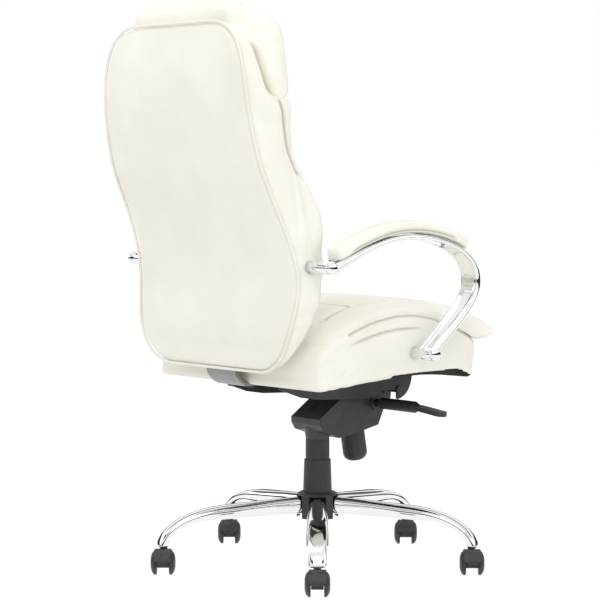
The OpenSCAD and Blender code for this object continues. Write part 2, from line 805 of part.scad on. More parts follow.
// The rear face as [y, z], from the top down
back_rear = concat(
    curve([380, 1108], [386, 1000], [382, 930], [357, 840], 8),
    curve([357, 840], [340, 780], [277, 690], [273, 605], 8),
    curve([273, 605], [273, 560], [286, 520], [284, 480], 6),
    curve([284, 480], [283, 455], [281, 440], [276, 425], 3),
    [[276, 425]]);
// The front face as [y, z], from the bottom up
back_front = concat(
    [[262, 425], [246, 432]],
    curve([244, 448], [232, 484], [196, 520], [186, 585], 6),
    curve([186, 585], [178, 640], [180, 700], [196, 745], 6),
    curve([196, 745], [214, 790], [250, 815], [262, 870], 6),
    [[266, 925]]);
// The whole outline as [x, z], right half, from the top down
back_half = concat(
    [[0, 1109]],
    curve([120, 1107], [190, 1105], [212, 1060], [222, 1000], 8),
    curve([222, 1000], [232, 930], [238, 800], [240, 760], 4),
    curve([240, 760], [243, 690], [254, 650], [252, 600], 4),
    curve([252, 600], [250, 540], [236, 505], [225, 480], 5),
    curve([225, 480], [212, 450], [180, 430], [140, 426], 5),
    [[0, 424]]);
// Height of the rear face's y at height z, between the profile's points
function rear_y(z) = lookup(-z, [for (p = back_rear) [-p[1], p[0]]]);

module back_outline(inset) {
    if (inset == 0) polygon(mirrored(back_half));
    else polygon(mirrored([for (p = beside(back_half, -inset)) [max(p[0], 0), p[1]]]));
}

// A layer that follows the rear face, from depth a to depth b in front of it
module back_layer(a, b) {
    across(-300, 300) polygon(concat(beside(back_rear, -a), reversed(beside(back_rear, -b))));
}

module back_panel() {
    color([0.95, 0.94, 0.89]) difference() {
        intersection() {
            back_layer(0, panel_t - soft_gap / 2);
            along(150, 450) back_outline(0);
        }
        // pockets of the bolt heads
        for (z = back_bolt_z) translate([0, 0, z]) rotate([-90, 0, 0])
            rod(bolt_head / 2 + 1.5, 0, rear_y(z) - panel_t + back_bolt_gap + back_bolt_head + soft_gap);
    }
}

module shell_space(grow) {
    intersection() {
        back_layer(panel_t - grow, panel_t + shell_t + grow);
        along(150, 450) back_outline(shell_margin - grow);
    }
}

module back_shell() {
    pocket = bracket_w / 2 + slip;
    color([0.72, 0.58, 0.4]) difference() {
        shell_space(0);
        // pocket of the bracket
        intersection() {
            back_layer(panel_t - 1, panel_t + bracket_t + slip);
            block([-pocket, 0, 300], [pocket, far, bracket_top + slip]);
        }
        block([-pocket, 0, 300], [pocket, far, bracket_low]);
        for (z = back_bolt_z) translate([0, 0, z]) rotate([-90, 0, 0]) rod(bolt_r + slip, 0, far);
    }
}

module back_cushion() {
    pocket = bracket_w / 2 + 1;
    color([0.95, 0.94, 0.89]) difference() {
        intersection() {
            across(-300, 300) polygon(concat(back_front, head_seam,
                [[345, 1093]], beside(back_rear, -panel_t - soft_gap / 2)));
            along(150, 450) back_outline(0);
        }
        shell_space(soft_gap);
        // way out of the bracket at the bottom
        block([-pocket, 252, 300], [pocket, far, bracket_low]);
        for (s = [-1, 1]) scale([s, 1, 1]) {
            block([176, 216, boss_back[1] - 22], [236, 262, boss_back[1] + 22]);
            translate([0, boss_back[0], boss_back[1]]) x_rod(bolt_r + 0.5, 230, far);
        }
    }
}

// Seam between the side of the back and the headrest pillow, from its front end up
head_seam = curve([266, 925], [300, 930], [318, 980], [333, 1060], 6);

module headrest_pillow() {
    color([0.97, 0.97, 0.94]) intersection() {
        across(-300, 300) polygon(concat(
            shifted(reversed(head_seam), [-soft_gap, soft_gap]),
            [[262, 930]],
            curve([258, 940], [240, 990], [236, 1040], [232, 1085], 6),
            curve([232, 1085], [230, 1130], [262, 1157], [298, 1157], 8),
            curve([298, 1157], [335, 1157], [372, 1140], [379, 1113], 6),
            [[379, 1110.4], [346, 1110.4], [346, 1096], [333, 1061]]));
        along(150, 450) polygon(mirrored(concat(
            curve([0, 1158], [110, 1156], [196, 1140], [206, 1070], 10),
            curve([206, 1070], [222, 1020], [228, 980], [229, 920], 4),
            [[229, 900], [0, 900]])));
    }
}

bracket_path = concat(
    [[66, board_z - bracket_t / 2 - slip], [222, board_z - bracket_t / 2 - slip]],
    curve([226, board_z - bracket_t / 2], [240, board_z], [250, 412], [258, 422], 5),
    [for (p = reversed(beside(back_rear, -panel_t - bracket_t / 2 - slip / 2)))
        if (p[1] > bracket_low - 10 && p[1] < bracket_top) p]);

module back_bracket() {
    color([0.66, 0.66, 0.68]) difference() {
        across(-bracket_w / 2, bracket_w / 2) intersection() {
            polygon(band(bracket_path, bracket_t / 2, -bracket_t / 2));
            square([far, bracket_top]);
        }
        for (b = plate_bolts) translate([b[0], b[1], 0]) rod(bolt_r + 0.3, 300, 420);
        for (z = back_bolt_z) translate([0, 0, z]) rotate([-90, 0, 0]) rod(bolt_r + 0.3, 200, far);
    }
}

// ---------- arms ----------

arm_rear_curve = concat(curve([232, 640], [180, 662], [110, 697], [30, 697], 12));
arm_front_curve = concat(
    curve([30, 697], [-40, 697], [-158, 672], [-158, 600], 12),
    curve([-158, 600], [-158, 560], [-120, 530], boss_front, 12),
    [boss_front]);
// Outer face of the bar, from the rear boss over the top to the front boss
arm_path = concat([boss_back], arm_rear_curve, arm_front_curve);
pad_path = [for (p = arm_path) if (p[1] > 644) p];

module arm_frame(s) {
    color([0.83, 0.84, 0.86]) scale([s, 1, 1]) difference() {
        union() {
            across(arm_x - arm_w, arm_x) polygon(band(arm_path, 0, arm_t));
            translate([0, boss_back[0], boss_back[1]]) x_rod(boss_r, boss_back_x, arm_x);
            translate([0, boss_front[0], boss_front[1]]) x_rod(boss_r, boss_front_x, arm_x);
        }
        translate([0, boss_back[0], boss_back[1]]) x_rod(bolt_r + run, boss_back_x - 1, boss_back_x + 32);
        translate([0, boss_front[0], boss_front[1]]) x_rod(bolt_r + run, boss_front_x - 1, boss_front_x + 32);
        for (y = screw_at) translate([arm_x - arm_w / 2, y, 0]) rod(screw_d / 2 + 0.3, 600, 760);
    }
}

module arm_pad(s) {
    x = arm_x - arm_w / 2;
    color([0.96, 0.95, 0.9]) scale([s, 1, 1]) difference() {
        intersection() {
            across(x - pad_w / 2, x + pad_w / 2) polygon(band(pad_path, -pad_t, -soft_gap));
            linear_extrude(far * 2) translate([x, 0]) polygon(concat(
                [for (a = [0:15:180]) [pad_w / 2 * cos(a), 215 + 24 * sin(a)]],
                [for (a = [180:15:360]) [pad_w / 2 * cos(a), -140 + 24 * sin(a)]]));
        }
        for (y = screw_at) translate([x, y, 0]) rod(screw_d / 2 + slip, 600, arm_top(y) + 14);
    }
}

// Height of the bar's upper face at y
function arm_top(y) = lookup(y, [for (p = reversed([for (q = arm_path) if (q[1] > 655) q])) p]);

module arm_brackets() {
    color([0.5, 0.5, 0.52]) for (s = [-1, 1]) scale([s, 1, 1]) {
        // angle on the seat board's wing
        slope = atan2(wing_rise, board_x - flat_x);
        difference() {
            union() {
                block([bracket_x - 4, boss_front[0] - 20,
                       board_z + board_t + (bracket_x - flat_x) * tan(slope) + 0.4],
                      [bracket_x, boss_front[0] + 20, boss_front[1] + 14]);
                translate([flat_x, boss_front[0] - 19, board_z + board_t + 0.2]) rotate([0, -slope, 0])
                    cube([bracket_x - flat_x - 1, 38, 3]);
            }
            block([0, -far, 0], [bracket_x - 57, far, far]);
            translate([0, boss_front[0], boss_front[1]]) x_rod(bolt_r + 0.3, bracket_x - 37, 300);
        }
        // angle on the back shell's front
        difference() {
            union() {
                block([231, 220, boss_back[1] - 20], [235, 258, boss_back[1] + 20]);
                intersection() {
                    back_layer(panel_t + shell_t + 0.2, panel_t + shell_t + 3.2);
                    block([180, 0, boss_back[1] - 20], [235, far, boss_back[1] + 20]);
                }
            }
            translate([0, boss_back[0], boss_back[1]]) x_rod(bolt_r + 0.3, 200, 300);
            shell_space(slip);
        }
    }
}

module arm_bolts() {
    color([0.25, 0.25, 0.26]) for (s = [-1, 1]) scale([s, 1, 1]) {
        translate([bracket_x - 4 - slip, boss_front[0], boss_front[1]]) rotate([0, 90, 0]) hex_bolt(54);
        translate([231 - slip, boss_back[0], boss_back[1]]) rotate([0, 90, 0]) hex_bolt(51);
    }
}

module pad_screws() {
    color([0.6, 0.6, 0.62]) for (s = [-1, 1], y = screw_at)
        translate([s * (arm_x - arm_w / 2), y, 0]) {
            rod(screw_d / 2, arm_top(y) - arm_t - 3, arm_top(y) + 12);
            rod(screw_d, arm_top(y) - arm_t - 5, arm_top(y) - arm_t - 2);
        }
}

// ---------- nodes ----------

hub_socket();
hub_cover();
caster_stems();
for (k = [1:5]) {
    leg(k);
    caster_hood(k);
    for (s = ["a", "b"])
        caster_wheel(k, s);
}
lift_outer_tube();
lift_guide_bush();
lift_cylinder();
lift_piston_rod();
lift_thrust_bearing();
lift_clip();
lift_release_pin();
cover_lower();
cover_middle();
cover_upper();
mech_housing();
seat_plate();
tilt_axle();
tension_spring();
tension_bolt();
tension_knob();
lever_collar();
height_lever();
seat_board();
seat_cushion();
seat_pillow();
dust_cover();
frame_bolts();
tee_nuts();
back_shell();
back_cushion();
headrest_pillow();
back_panel();
back_bracket();
arm_frame(-1);  // arm_frame_right
arm_frame(1);  // arm_frame_left
arm_pad(-1);  // arm_pad_right
arm_pad(1);  // arm_pad_left
arm_brackets();
arm_bolts();
pad_screws();
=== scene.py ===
import json
import math

import bmesh
import bpy
import numpy as np
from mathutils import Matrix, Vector
from mathutils.bvhtree import BVHTree

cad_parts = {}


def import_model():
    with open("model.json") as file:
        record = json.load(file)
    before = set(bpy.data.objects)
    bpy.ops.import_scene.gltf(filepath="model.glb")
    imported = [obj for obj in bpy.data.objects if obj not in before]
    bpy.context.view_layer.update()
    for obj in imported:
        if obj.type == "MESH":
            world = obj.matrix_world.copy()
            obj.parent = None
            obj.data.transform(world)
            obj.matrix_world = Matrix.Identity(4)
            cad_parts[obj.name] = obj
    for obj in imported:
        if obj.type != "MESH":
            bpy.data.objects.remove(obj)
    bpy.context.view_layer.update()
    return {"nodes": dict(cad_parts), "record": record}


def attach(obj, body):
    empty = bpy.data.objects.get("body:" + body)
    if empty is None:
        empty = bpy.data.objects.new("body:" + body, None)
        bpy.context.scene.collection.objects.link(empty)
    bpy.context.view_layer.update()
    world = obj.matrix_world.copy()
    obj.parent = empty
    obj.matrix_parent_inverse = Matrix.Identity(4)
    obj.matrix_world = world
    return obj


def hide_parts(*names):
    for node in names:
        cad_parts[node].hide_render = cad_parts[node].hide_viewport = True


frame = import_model()

MM = 0.001
SEAT = "seat_unit"
BASE = "base"
LEG_COUNT = 5
SIDES = (-1, 1)

# ---------- camera ----------

CAMERA_PLACE = (-3.393, 2.981, 0.831)
CAMERA_YAW = math.radians(-40.84)
CAMERA_PITCH = math.radians(-3.53)
CAMERA_LENS = 131.0
CAMERA_SENSOR = 36
CAMERA_REACH = 60


def make_camera():
    camera = bpy.data.objects.new("camera", bpy.data.cameras.new("camera"))
    bpy.context.scene.collection.objects.link(camera)
    ahead = Vector((math.cos(CAMERA_YAW) * math.cos(CAMERA_PITCH),
                    math.sin(CAMERA_YAW) * math.cos(CAMERA_PITCH), math.sin(CAMERA_PITCH)))
    camera.location = CAMERA_PLACE
    camera.rotation_euler = ahead.to_track_quat("-Z", "Y").to_euler()
    camera.data.lens = CAMERA_LENS
    camera.data.sensor_width = CAMERA_SENSOR
    camera.data.clip_end = CAMERA_REACH
    bpy.context.scene.camera = camera


make_camera()

# ---------- curves and points ----------


def bezier(a, b, c, d, count=8):
    """Points on a cubic curve, without its last point."""
    t = np.linspace(0, 1, count, endpoint=False)[:, None]
    a, b, c, d = (np.array(p, float) for p in (a, b, c, d))
    return (1 - t) ** 3 * a + 3 * (1 - t) ** 2 * t * b + 3 * (1 - t) * t * t * c + t ** 3 * d


def joined(*parts):
    return np.concatenate([np.atleast_2d(np.array(p, float)) for p in parts])


def resample(path, count, closed=False):
    """The path as count points at equal distances."""
    path = np.array(path, float)
    if closed:
        path = np.concatenate([path, path[:1]])
    run = np.concatenate([[0], np.cumsum(np.linalg.norm(np.diff(path, axis=0), axis=1))])
    at = np.linspace(0, run[-1], count, endpoint=not closed)
    return np.stack([np.interp(at, run, path[:, i]) for i in range(path.shape[1])], 1)


def relaxed(path, rounds=4, closed=False):
    """The path with its corners eased; its ends stay."""
    path = np.array(path, float)
    for _ in range(rounds):
        middle = (np.roll(path, 1, 0) + np.roll(path, -1, 0) + 2 * path) / 4
        if not closed:
            middle[0], middle[-1] = path[0], path[-1]
        path = middle
    return path


def smooth_step(x, low, high):
    t = np.clip((np.asarray(x, float) - low) / (high - low), 0, 1)
    return t * t * (3 - 2 * t)


def unit(v):
    v = np.asarray(v, float)
    return v / np.maximum(np.linalg.norm(v, axis=-1, keepdims=True), 1e-12)


def full_turn(count):
    """Angles round a circle."""
    return np.linspace(0, 2 * math.pi, count, endpoint=False)


def squared(wave, power):
    """A sine or cosine wave with fuller corners; a power of 1 leaves it round."""
    return np.sign(wave) * np.abs(wave) ** power


def turned_to(vectors, points, middle):
    """The vectors at points, each flipped where it looks away from middle."""
    return vectors * np.sign(np.sum(vectors * (middle - points), 1))[:, None]


def side_word(side):
    return "left" if side > 0 else "right"


# ---------- meshes ----------


def add_mesh(name, points, faces, material, shade_smooth=True):
    mesh = bpy.data.meshes.new(name)
    mesh.from_pydata([tuple(map(float, p)) for p in points], [], [tuple(f) for f in faces])
    mesh.validate()
    mesh.update()
    piece = bpy.data.objects.new(name, mesh)
    bpy.context.scene.collection.objects.link(piece)
    mesh.materials.append(material)
    mesh.polygons.foreach_set("use_smooth", [shade_smooth] * len(mesh.polygons))
    return piece


def ring_faces(rings, count, closed=False):
    """Quads between rings of count points each, numbered ring after ring."""
    faces = []
    for r in range(rings if closed else rings - 1):
        a, b = r * count, (r + 1) % rings * count
        for i in range(count):
            k = (i + 1) % count
            faces.append((a + i, a + k, b + k, b + i))
    return faces


def loft(rings):
    """Points and faces of a closed skin over rings, with a fan at each end."""
    rings = np.array(rings, float)
    total, count = rings.shape[:2]
    faces = ring_faces(total, count)
    points = np.concatenate([rings.reshape(-1, 3), [rings[0].mean(0)], [rings[-1].mean(0)]])
    first, last = total * count, total * count + 1
    for i in range(count):
        k = (i + 1) % count
        faces.append((first, k, i))
        faces.append((last, (total - 1) * count + i, (total - 1) * count + k))
    return points, faces


def frames_along(path, closed=False):
    """Unit tangents of a path."""
    if closed:
        return unit(np.roll(path, -1, 0) - np.roll(path, 1, 0))
    ahead = np.concatenate([path[1:], path[-1:]])
    behind = np.concatenate([path[:1], path[:-1]])
    return unit(ahead - behind)


def tube_parts(path, radius, sides, closed=False):
    """Points and faces of a round tube along a path."""
    path = np.array(path, float)
    tangent = frames_along(path, closed)
    side = np.zeros_like(path)
    up = np.array([0.0, 0.0, 1.0]) if abs(tangent[0][2]) < 0.9 else np.array([1.0, 0.0, 0.0])
    previous = unit(np.cross(tangent[0], up))
    for i, t in enumerate(tangent):
        previous = unit(previous - np.dot(previous, t) * t)
        side[i] = previous
    other = np.cross(tangent, side)
    angle = full_turn(sides)[:, None]
    rings = [p + radius * (np.cos(angle) * a + np.sin(angle) * b) for p, a, b in zip(path, side, other)]
    if closed:
        return np.array(rings).reshape(-1, 3), ring_faces(len(rings), sides, True)
    return loft(rings)


def gathered(parts):
    """Several (points, faces) as one."""
    points, faces, base = [], [], 0
    for p, f in parts:
        points.append(np.array(p, float))
        faces += [tuple(i + base for i in face) for face in f]
        base += len(p)
    return np.concatenate(points), faces


def coords(piece):
    co = np.zeros(len(piece.data.vertices) * 3, np.float32)
    piece.data.vertices.foreach_get("co", co)
    return co.reshape(-1, 3).astype(float)


def set_coords(piece, co):
    piece.data.vertices.foreach_set("co", np.asarray(co, np.float32).ravel())
    piece.data.update()


def normals(piece):
    out = np.zeros(len(piece.data.vertices) * 3, np.float32)
    piece.data.vertex_normals.foreach_get("vector", out)
    return out.reshape(-1, 3).astype(float)


def outward(piece):
    """Turns the faces so that they look outwards."""
    skin = bmesh.new()
    skin.from_mesh(piece.data)
    bmesh.ops.recalc_face_normals(skin, faces=skin.faces)
    skin.to_mesh(piece.data)
    skin.free()


def bake_modifiers(piece):
    """Gives the piece the mesh that its modifiers make, and removes them."""
    graph = bpy.context.evaluated_depsgraph_get()
    result = bpy.data.meshes.new_from_object(piece.evaluated_get(graph))
    old = piece.data
    piece.modifiers.clear()
    piece.data = result
    bpy.data.meshes.remove(old)
    piece.data.polygons.foreach_set("use_smooth", [True] * len(piece.data.polygons))


def remesh(piece, voxel, smoothing):
    """An even skin of small faces; smoothing rounds the edges."""
    outward(piece)
    m = piece.modifiers.new("even", "REMESH")
    m.mode = "VOXEL"
    m.voxel_size = voxel
    m.use_smooth_shade = True
    s = piece.modifiers.new("round", "SMOOTH")
    s.factor = 0.5
    s.iterations = smoothing
    bake_modifiers(piece)


def subdivide(piece):
    m = piece.modifiers.new("fine", "SUBSURF")
    m.levels = 1
    m.render_levels = 1
    bake_modifiers(piece)


CUSHION_VOXEL = 0.006
PAD_VOXEL = 0.004
CLOTH_FRAMES = 20
CLOTH_PRESSURE = 4.0
CLOTH_STIFFNESS = 12.0


def inflate(piece, cap, held, start_in):
    """Fills the skin like a cushion: it starts start_in smaller, and no point moves more than cap.
    held gives each point's hold from 0, free, to 1, fixed."""
    scene = bpy.context.scene
    rest = coords(piece)
    free = 1 - np.clip(held(rest), 0, 1)
    start = rest - normals(piece) * start_in * free[:, None]
    set_coords(piece, start)
    m = piece.modifiers.new("fill", "CLOTH")
    s = m.settings
    s.quality = 4
    s.mass = 0.3
    s.tension_stiffness = CLOTH_STIFFNESS
    s.compression_stiffness = CLOTH_STIFFNESS
    s.shear_stiffness = CLOTH_STIFFNESS * 0.4
    s.bending_stiffness = 0.4
    s.use_pressure = True
    s.uniform_pressure_force = CLOTH_PRESSURE
    s.effector_weights.gravity = 0
    group = piece.vertex_groups.new(name="held")
    for i in np.nonzero(free < 0.999)[0]:
        group.add([int(i)], float(1 - free[i]), "REPLACE")
    s.vertex_group_mass = "held"
    s.pin_stiffness = 2.0
    m.point_cache.frame_start = 1
    m.point_cache.frame_end = CLOTH_FRAMES
    for f in range(1, CLOTH_FRAMES + 1):
        scene.frame_set(f)
    graph = bpy.context.evaluated_depsgraph_get()
    shaped = piece.evaluated_get(graph)
    out = np.zeros(len(rest) * 3, np.float32)
    shaped.data.vertices.foreach_get("co", out)
    piece.modifiers.clear()
    piece.vertex_groups.clear()
    scene.frame_set(1)
    move = out.reshape(-1, 3).astype(float) - start
    far = np.linalg.norm(move, axis=1, keepdims=True)
    move *= np.minimum(1, cap / np.maximum(far, 1e-9)) * free[:, None]
    set_coords(piece, start + move)


def distance_to_path(points, path, closed=False):
    """Distance of each point to a polyline."""
    points = np.asarray(points, float)
    best = np.full(len(points), 1e9)
    ends = np.roll(path, -1, 0) if closed else path[1:]
    starts = path if closed else path[:-1]
    for a, b in zip(starts, ends):
        ab = b - a
        t = np.clip(((points - a) @ ab) / max(ab @ ab, 1e-12), 0, 1)
        d = np.linalg.norm(points - (a + t[:, None] * ab), axis=1)
        best = np.minimum(best, d)
    return best


def surface_of(piece):
    return BVHTree.FromObject(piece, bpy.context.evaluated_depsgraph_get())


def laid_on(path, surface):
    """The path moved onto the surface."""
    return np.array([np.array(surface.find_nearest(Vector(p))[0]) for p in path])


WIDEST_PAINTED_SHADE = 0.0034


def groove(piece, path, depth, width, closed=False, fade=0.0):
    """Presses a seam into a piece along a path and paints crevice shade along it. fade eases both at the
    ends.
    """
    co, no = coords(piece), normals(piece)
    near = distance_to_path(co, path, closed)
    hit = near < width * 4
    amount = np.zeros(len(co))
    amount[hit] = np.exp(-(near[hit] / width) ** 2)
    # painted crevice shade: darkest on the path, fading out within a few mm
    line = np.exp(-(near / min(width, WIDEST_PAINTED_SHADE)) ** 2)
    if fade:
        for end in (path[0], path[-1]):
            ease = smooth_step(np.linalg.norm(co - end, axis=1), 0, fade)
            amount *= ease
            line *= ease
    set_coords(piece, co - no * (amount * depth)[:, None])
    # the painted crevice shade goes into the seam attribute, which the leather material reads
    layer = piece.data.attributes.get("seam") or piece.data.attributes.new("seam", "FLOAT", "POINT")
    old = np.zeros(len(co), np.float32)
    layer.data.foreach_get("value", old)
    layer.data.foreach_set("value", np.maximum(old, line).astype(np.float32))


# ---------- materials ----------


def new_material(name, color, roughness, metallic=0.0, specular=0.5):
    material = bpy.data.materials.new(name)
    material.use_nodes = True
    tree = material.node_tree
    shader = tree.nodes["Principled BSDF"]
    shader.inputs["Base Color"].default_value = (*color, 1)
    shader.inputs["Roughness"].default_value = roughness
    shader.inputs["Metallic"].default_value = metallic
    shader.inputs["Specular IOR Level"].default_value = specular
    return material, tree, shader


def place_node(tree):
    return tree.nodes.new("ShaderNodeTexCoord").outputs["Object"]


def noise(tree, place, scale, detail=3.0, rough=0.5, distortion=0.0):
    node = tree.nodes.new("ShaderNodeTexNoise")
    node.inputs["Scale"].default_value = scale
    node.inputs["Detail"].default_value = detail
    node.inputs["Roughness"].default_value = rough
    node.inputs["Distortion"].default_value = distortion
    tree.links.new(place, node.inputs["Vector"])
    return node.outputs["Fac"]


def ramp(tree, value, stops):
    node = tree.nodes.new("ShaderNodeValToRGB")
    elements = node.color_ramp.elements
    while len(elements) < len(stops):
        elements.new(0.5)
    for element, (at, color) in zip(elements, stops):
        element.position = at
        element.color = (*color, 1) if hasattr(color, "__len__") else (color, color, color, 1)
    tree.links.new(value, node.inputs["Fac"])
    return node.outputs["Color"]


def bump(tree, height, distance, strength, below=None):
    node = tree.nodes.new("ShaderNodeBump")
    node.inputs["Distance"].default_value = distance
    node.inputs["Strength"].default_value = strength
    tree.links.new(height, node.inputs["Height"])
    if below is not None:
        tree.links.new(below, node.inputs["Normal"])
    return node.outputs["Normal"]


def math_node(tree, kind, a, b):
    node = tree.nodes.new("ShaderNodeMath")
    node.operation = kind
    for socket, value in zip(node.inputs, (a, b)):
        if isinstance(value, (int, float)):
            socket.default_value = value
        else:
            tree.links.new(value, socket)
    return node.outputs[0]


def mixed_in(tree, share, base, color):
    """The socket base with a plain colour mixed into it by share."""
    node = tree.nodes.new("ShaderNodeMix")
    node.data_type = "RGBA"
    tree.links.new(share, node.inputs["Factor"])
    tree.links.new(base, node.inputs["A"])
    node.inputs["B"].default_value = (*color, 1)
    return node.outputs["Result"]


def toned(color, factor):
    return tuple(c * factor for c in color)


def stretched(tree, place, scale):
    node = tree.nodes.new("ShaderNodeMapping")
    node.inputs["Scale"].default_value = scale
    tree.links.new(place, node.inputs["Vector"])
    return node.outputs["Vector"]


def voronoi(tree, place, scale):
    node = tree.nodes.new("ShaderNodeTexVoronoi")
    node.inputs["Scale"].default_value = scale
    tree.links.new(place, node.inputs["Vector"])
    return node.outputs["Distance"]


def leather(name, color, shade, crevice_shade_color):
    """Cream leather: pebbled grain, soft creases, slow changes of tone, with painted crevice shade in its
    seams.
    """
    material, tree, shader = new_material(name, color, 0.42, specular=0.42)
    place = place_node(tree)
    tone = ramp(tree, noise(tree, place, 7.0, 3.0), [(0.35, shade), (0.65, color)])
    # the seam attribute mixes painted crevice shade into the base colour
    seam = tree.nodes.new("ShaderNodeAttribute")
    seam.attribute_name = "seam"
    painted_crevice_shade = math_node(tree, "MULTIPLY", seam.outputs["Fac"], 0.7)
    tree.links.new(mixed_in(tree, painted_crevice_shade, tone, crevice_shade_color), shader.inputs["Base Color"])
    rough = ramp(tree, noise(tree, place, 90.0, 4.0), [(0.3, 0.36), (0.7, 0.50)])
    tree.links.new(rough, shader.inputs["Roughness"])
    creases = noise(tree, place, 55.0, 5.0, 0.55, 0.8)
    pebbles = voronoi(tree, place, 720.0)
    pores = noise(tree, place, 1500.0, 2.0)
    normal = bump(tree, creases, 0.0012, 0.16)
    normal = bump(tree, pebbles, 0.00028, 0.32, normal)
    normal = bump(tree, pores, 0.00012, 0.25, normal)
    tree.links.new(normal, shader.inputs["Normal"])
    return material


def moulded_plastic(name, color, grain):
    material, tree, shader = new_material(name, color, 0.46, specular=0.45)
    place = place_node(tree)
    tone = ramp(tree, noise(tree, place, 30.0, 4.0), [(0.3, toned(color, 0.82)), (0.7, toned(color, 1.15))])
    tree.links.new(tone, shader.inputs["Base Color"])
    rough = ramp(tree, noise(tree, place, 140.0, 4.0), [(0.3, 0.38), (0.7, 0.56)])
    tree.links.new(rough, shader.inputs["Roughness"])
    normal = bump(tree, voronoi(tree, place, grain), 0.00015, 0.35)
    tree.links.new(normal, shader.inputs["Normal"])
    return material


def painted_steel(name, color):
    material, tree, shader = new_material(name, color, 0.4, specular=0.5)
    place = place_node(tree)
    tone = ramp(tree, noise(tree, place, 24.0, 4.0), [(0.35, toned(color, 0.85)), (0.7, toned(color, 1.2))])
    tree.links.new(tone, shader.inputs["Base Color"])
    rough = ramp(tree, noise(tree, place, 60.0, 5.0), [(0.3, 0.32), (0.7, 0.52)])
    tree.links.new(rough, shader.inputs["Roughness"])
    normal = bump(tree, noise(tree, place, 420.0, 3.0), 0.0002, 0.3)
    tree.links.new(normal, shader.inputs["Normal"])
    return material


def polished_metal(name, color, low, high, wave):
    """Plated or polished metal; wave is the height of its slow unevenness."""
    material, tree, shader = new_material(name, color, low, metallic=1.0)
    place = place_node(tree)
    rough = ramp(tree, noise(tree, place, 75.0, 6.0, 0.6), [(0.4, low), (0.8, high)])
    tree.links.new(rough, shader.inputs["Roughness"])
    tone = ramp(tree, noise(tree, place, 12.0, 3.0), [(0.3, toned(color, 0.95)), (0.7, color)])
    tree.links.new(tone, shader.inputs["Base Color"])
    normal = bump(tree, noise(tree, place, 22.0, 2.0), wave, 0.2)
    tree.links.new(normal, shader.inputs["Normal"])
    return material


def brushed_metal(name, color, rough_low, rough_high):
    material, tree, shader = new_material(name, color, rough_low, metallic=1.0)
    place = place_node(tree)
    lines = noise(tree, stretched(tree, place, (1, 12, 12)), 160.0, 5.0, 0.65)
    tree.links.new(ramp(tree, lines, [(0.3, rough_low), (0.7, rough_high)]), shader.inputs["Roughness"])
    tone = ramp(tree, noise(tree, place, 26.0, 4.0), [(0.3, toned(color, 0.86)), (0.7, color)])
    tree.links.new(tone, shader.inputs["Base Color"])
    tree.links.new(bump(tree, lines, 0.00008, 0.25), shader.inputs["Normal"])
    return material


def plywood(name):
    wood = (0.55, 0.40, 0.24)
    material, tree, shader = new_material(name, wood, 0.6)
    grain = noise(tree, stretched(tree, place_node(tree), (14, 1.4, 60)), 9.0, 6.0, 0.6, 1.2)
    stops = [(0.3, (0.34, 0.22, 0.12)), (0.55, wood), (0.8, (0.66, 0.51, 0.33))]
    tone = ramp(tree, grain, stops)
    tree.links.new(tone, shader.inputs["Base Color"])
    tree.links.new(bump(tree, grain, 0.0004, 0.4), shader.inputs["Normal"])
    return material


def woven(name, color):
    """Spun dust-cover cloth: crossed threads with loose fibres."""
    material, tree, shader = new_material(name, color, 0.92, specular=0.2)
    place = place_node(tree)
    threads = []
    for turn in ("X", "Y"):
        wave = tree.nodes.new("ShaderNodeTexWave")
        wave.bands_direction = turn
        wave.inputs["Scale"].default_value = 260.0
        wave.inputs["Distortion"].default_value = 1.5
        tree.links.new(place, wave.inputs["Vector"])
        threads.append(wave.outputs["Fac"])
    weave = math_node(tree, "MAXIMUM", *threads)
    tone = ramp(tree, noise(tree, place, 300.0, 4.0), [(0.3, toned(color, 0.6)), (0.8, toned(color, 1.7))])
    tree.links.new(tone, shader.inputs["Base Color"])
    tree.links.new(bump(tree, weave, 0.0004, 0.5), shader.inputs["Normal"])
    return material


CREAM = (0.925, 0.905, 0.83)
CREAM_SHADE = (0.88, 0.855, 0.77)
# colour of the painted crevice shade in seams and along welts
CREVICE_SHADE = (0.30, 0.25, 0.18)
LEATHER = leather("cream_leather", CREAM, CREAM_SHADE, CREVICE_SHADE)
WELT = leather("welt_leather", (0.90, 0.88, 0.80), (0.86, 0.83, 0.75), CREVICE_SHADE)
STITCH = leather("stitch_thread", (0.80, 0.76, 0.66), (0.72, 0.68, 0.58), CREVICE_SHADE)
CHROME = polished_metal("chrome", (0.86, 0.865, 0.87), 0.045, 0.12, 0.0006)
BRIGHT = brushed_metal("bright_steel", (0.30, 0.30, 0.30), 0.22, 0.4)
ZINC = brushed_metal("zinc_steel", (0.62, 0.62, 0.60), 0.30, 0.5)
BLACK_STEEL = painted_steel("black_steel", (0.042, 0.042, 0.044))
BLACK_PLASTIC = moulded_plastic("black_plastic", (0.036, 0.036, 0.038), 1300.0)
WHEEL_PLASTIC = moulded_plastic("wheel_plastic", (0.030, 0.030, 0.032), 900.0)
BUSH_PLASTIC = moulded_plastic("bush_plastic", (0.70, 0.69, 0.64), 1100.0)
PLYWOOD = plywood("plywood")
DUST_FABRIC = woven("dust_fabric", (0.02, 0.02, 0.021))

BY_SLOT = {"chrome": CHROME, "bright_steel": BRIGHT, "zinc_steel": ZINC, "black_steel": BLACK_STEEL,
           "black_plastic": BLACK_PLASTIC, "wheel_plastic": WHEEL_PLASTIC, "bush_plastic": BUSH_PLASTIC,
           "leather": LEATHER, "plywood": PLYWOOD, "dust_fabric": DUST_FABRIC}


def finish_cad_nodes():
    """Each CAD node gets the material of its slot."""
    for part in frame["record"]["subparts"]:
        mesh = frame["nodes"][part["node"]].data
        mesh.materials.clear()
        mesh.materials.append(BY_SLOT[part["material_slot"]])


finish_cad_nodes()


def placed(piece, body, slot, *nodes):
    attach(piece, body)
    if nodes:
        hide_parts(*nodes)
    return piece


# ---------- the chair's lines, in mm, from the CAD ----------

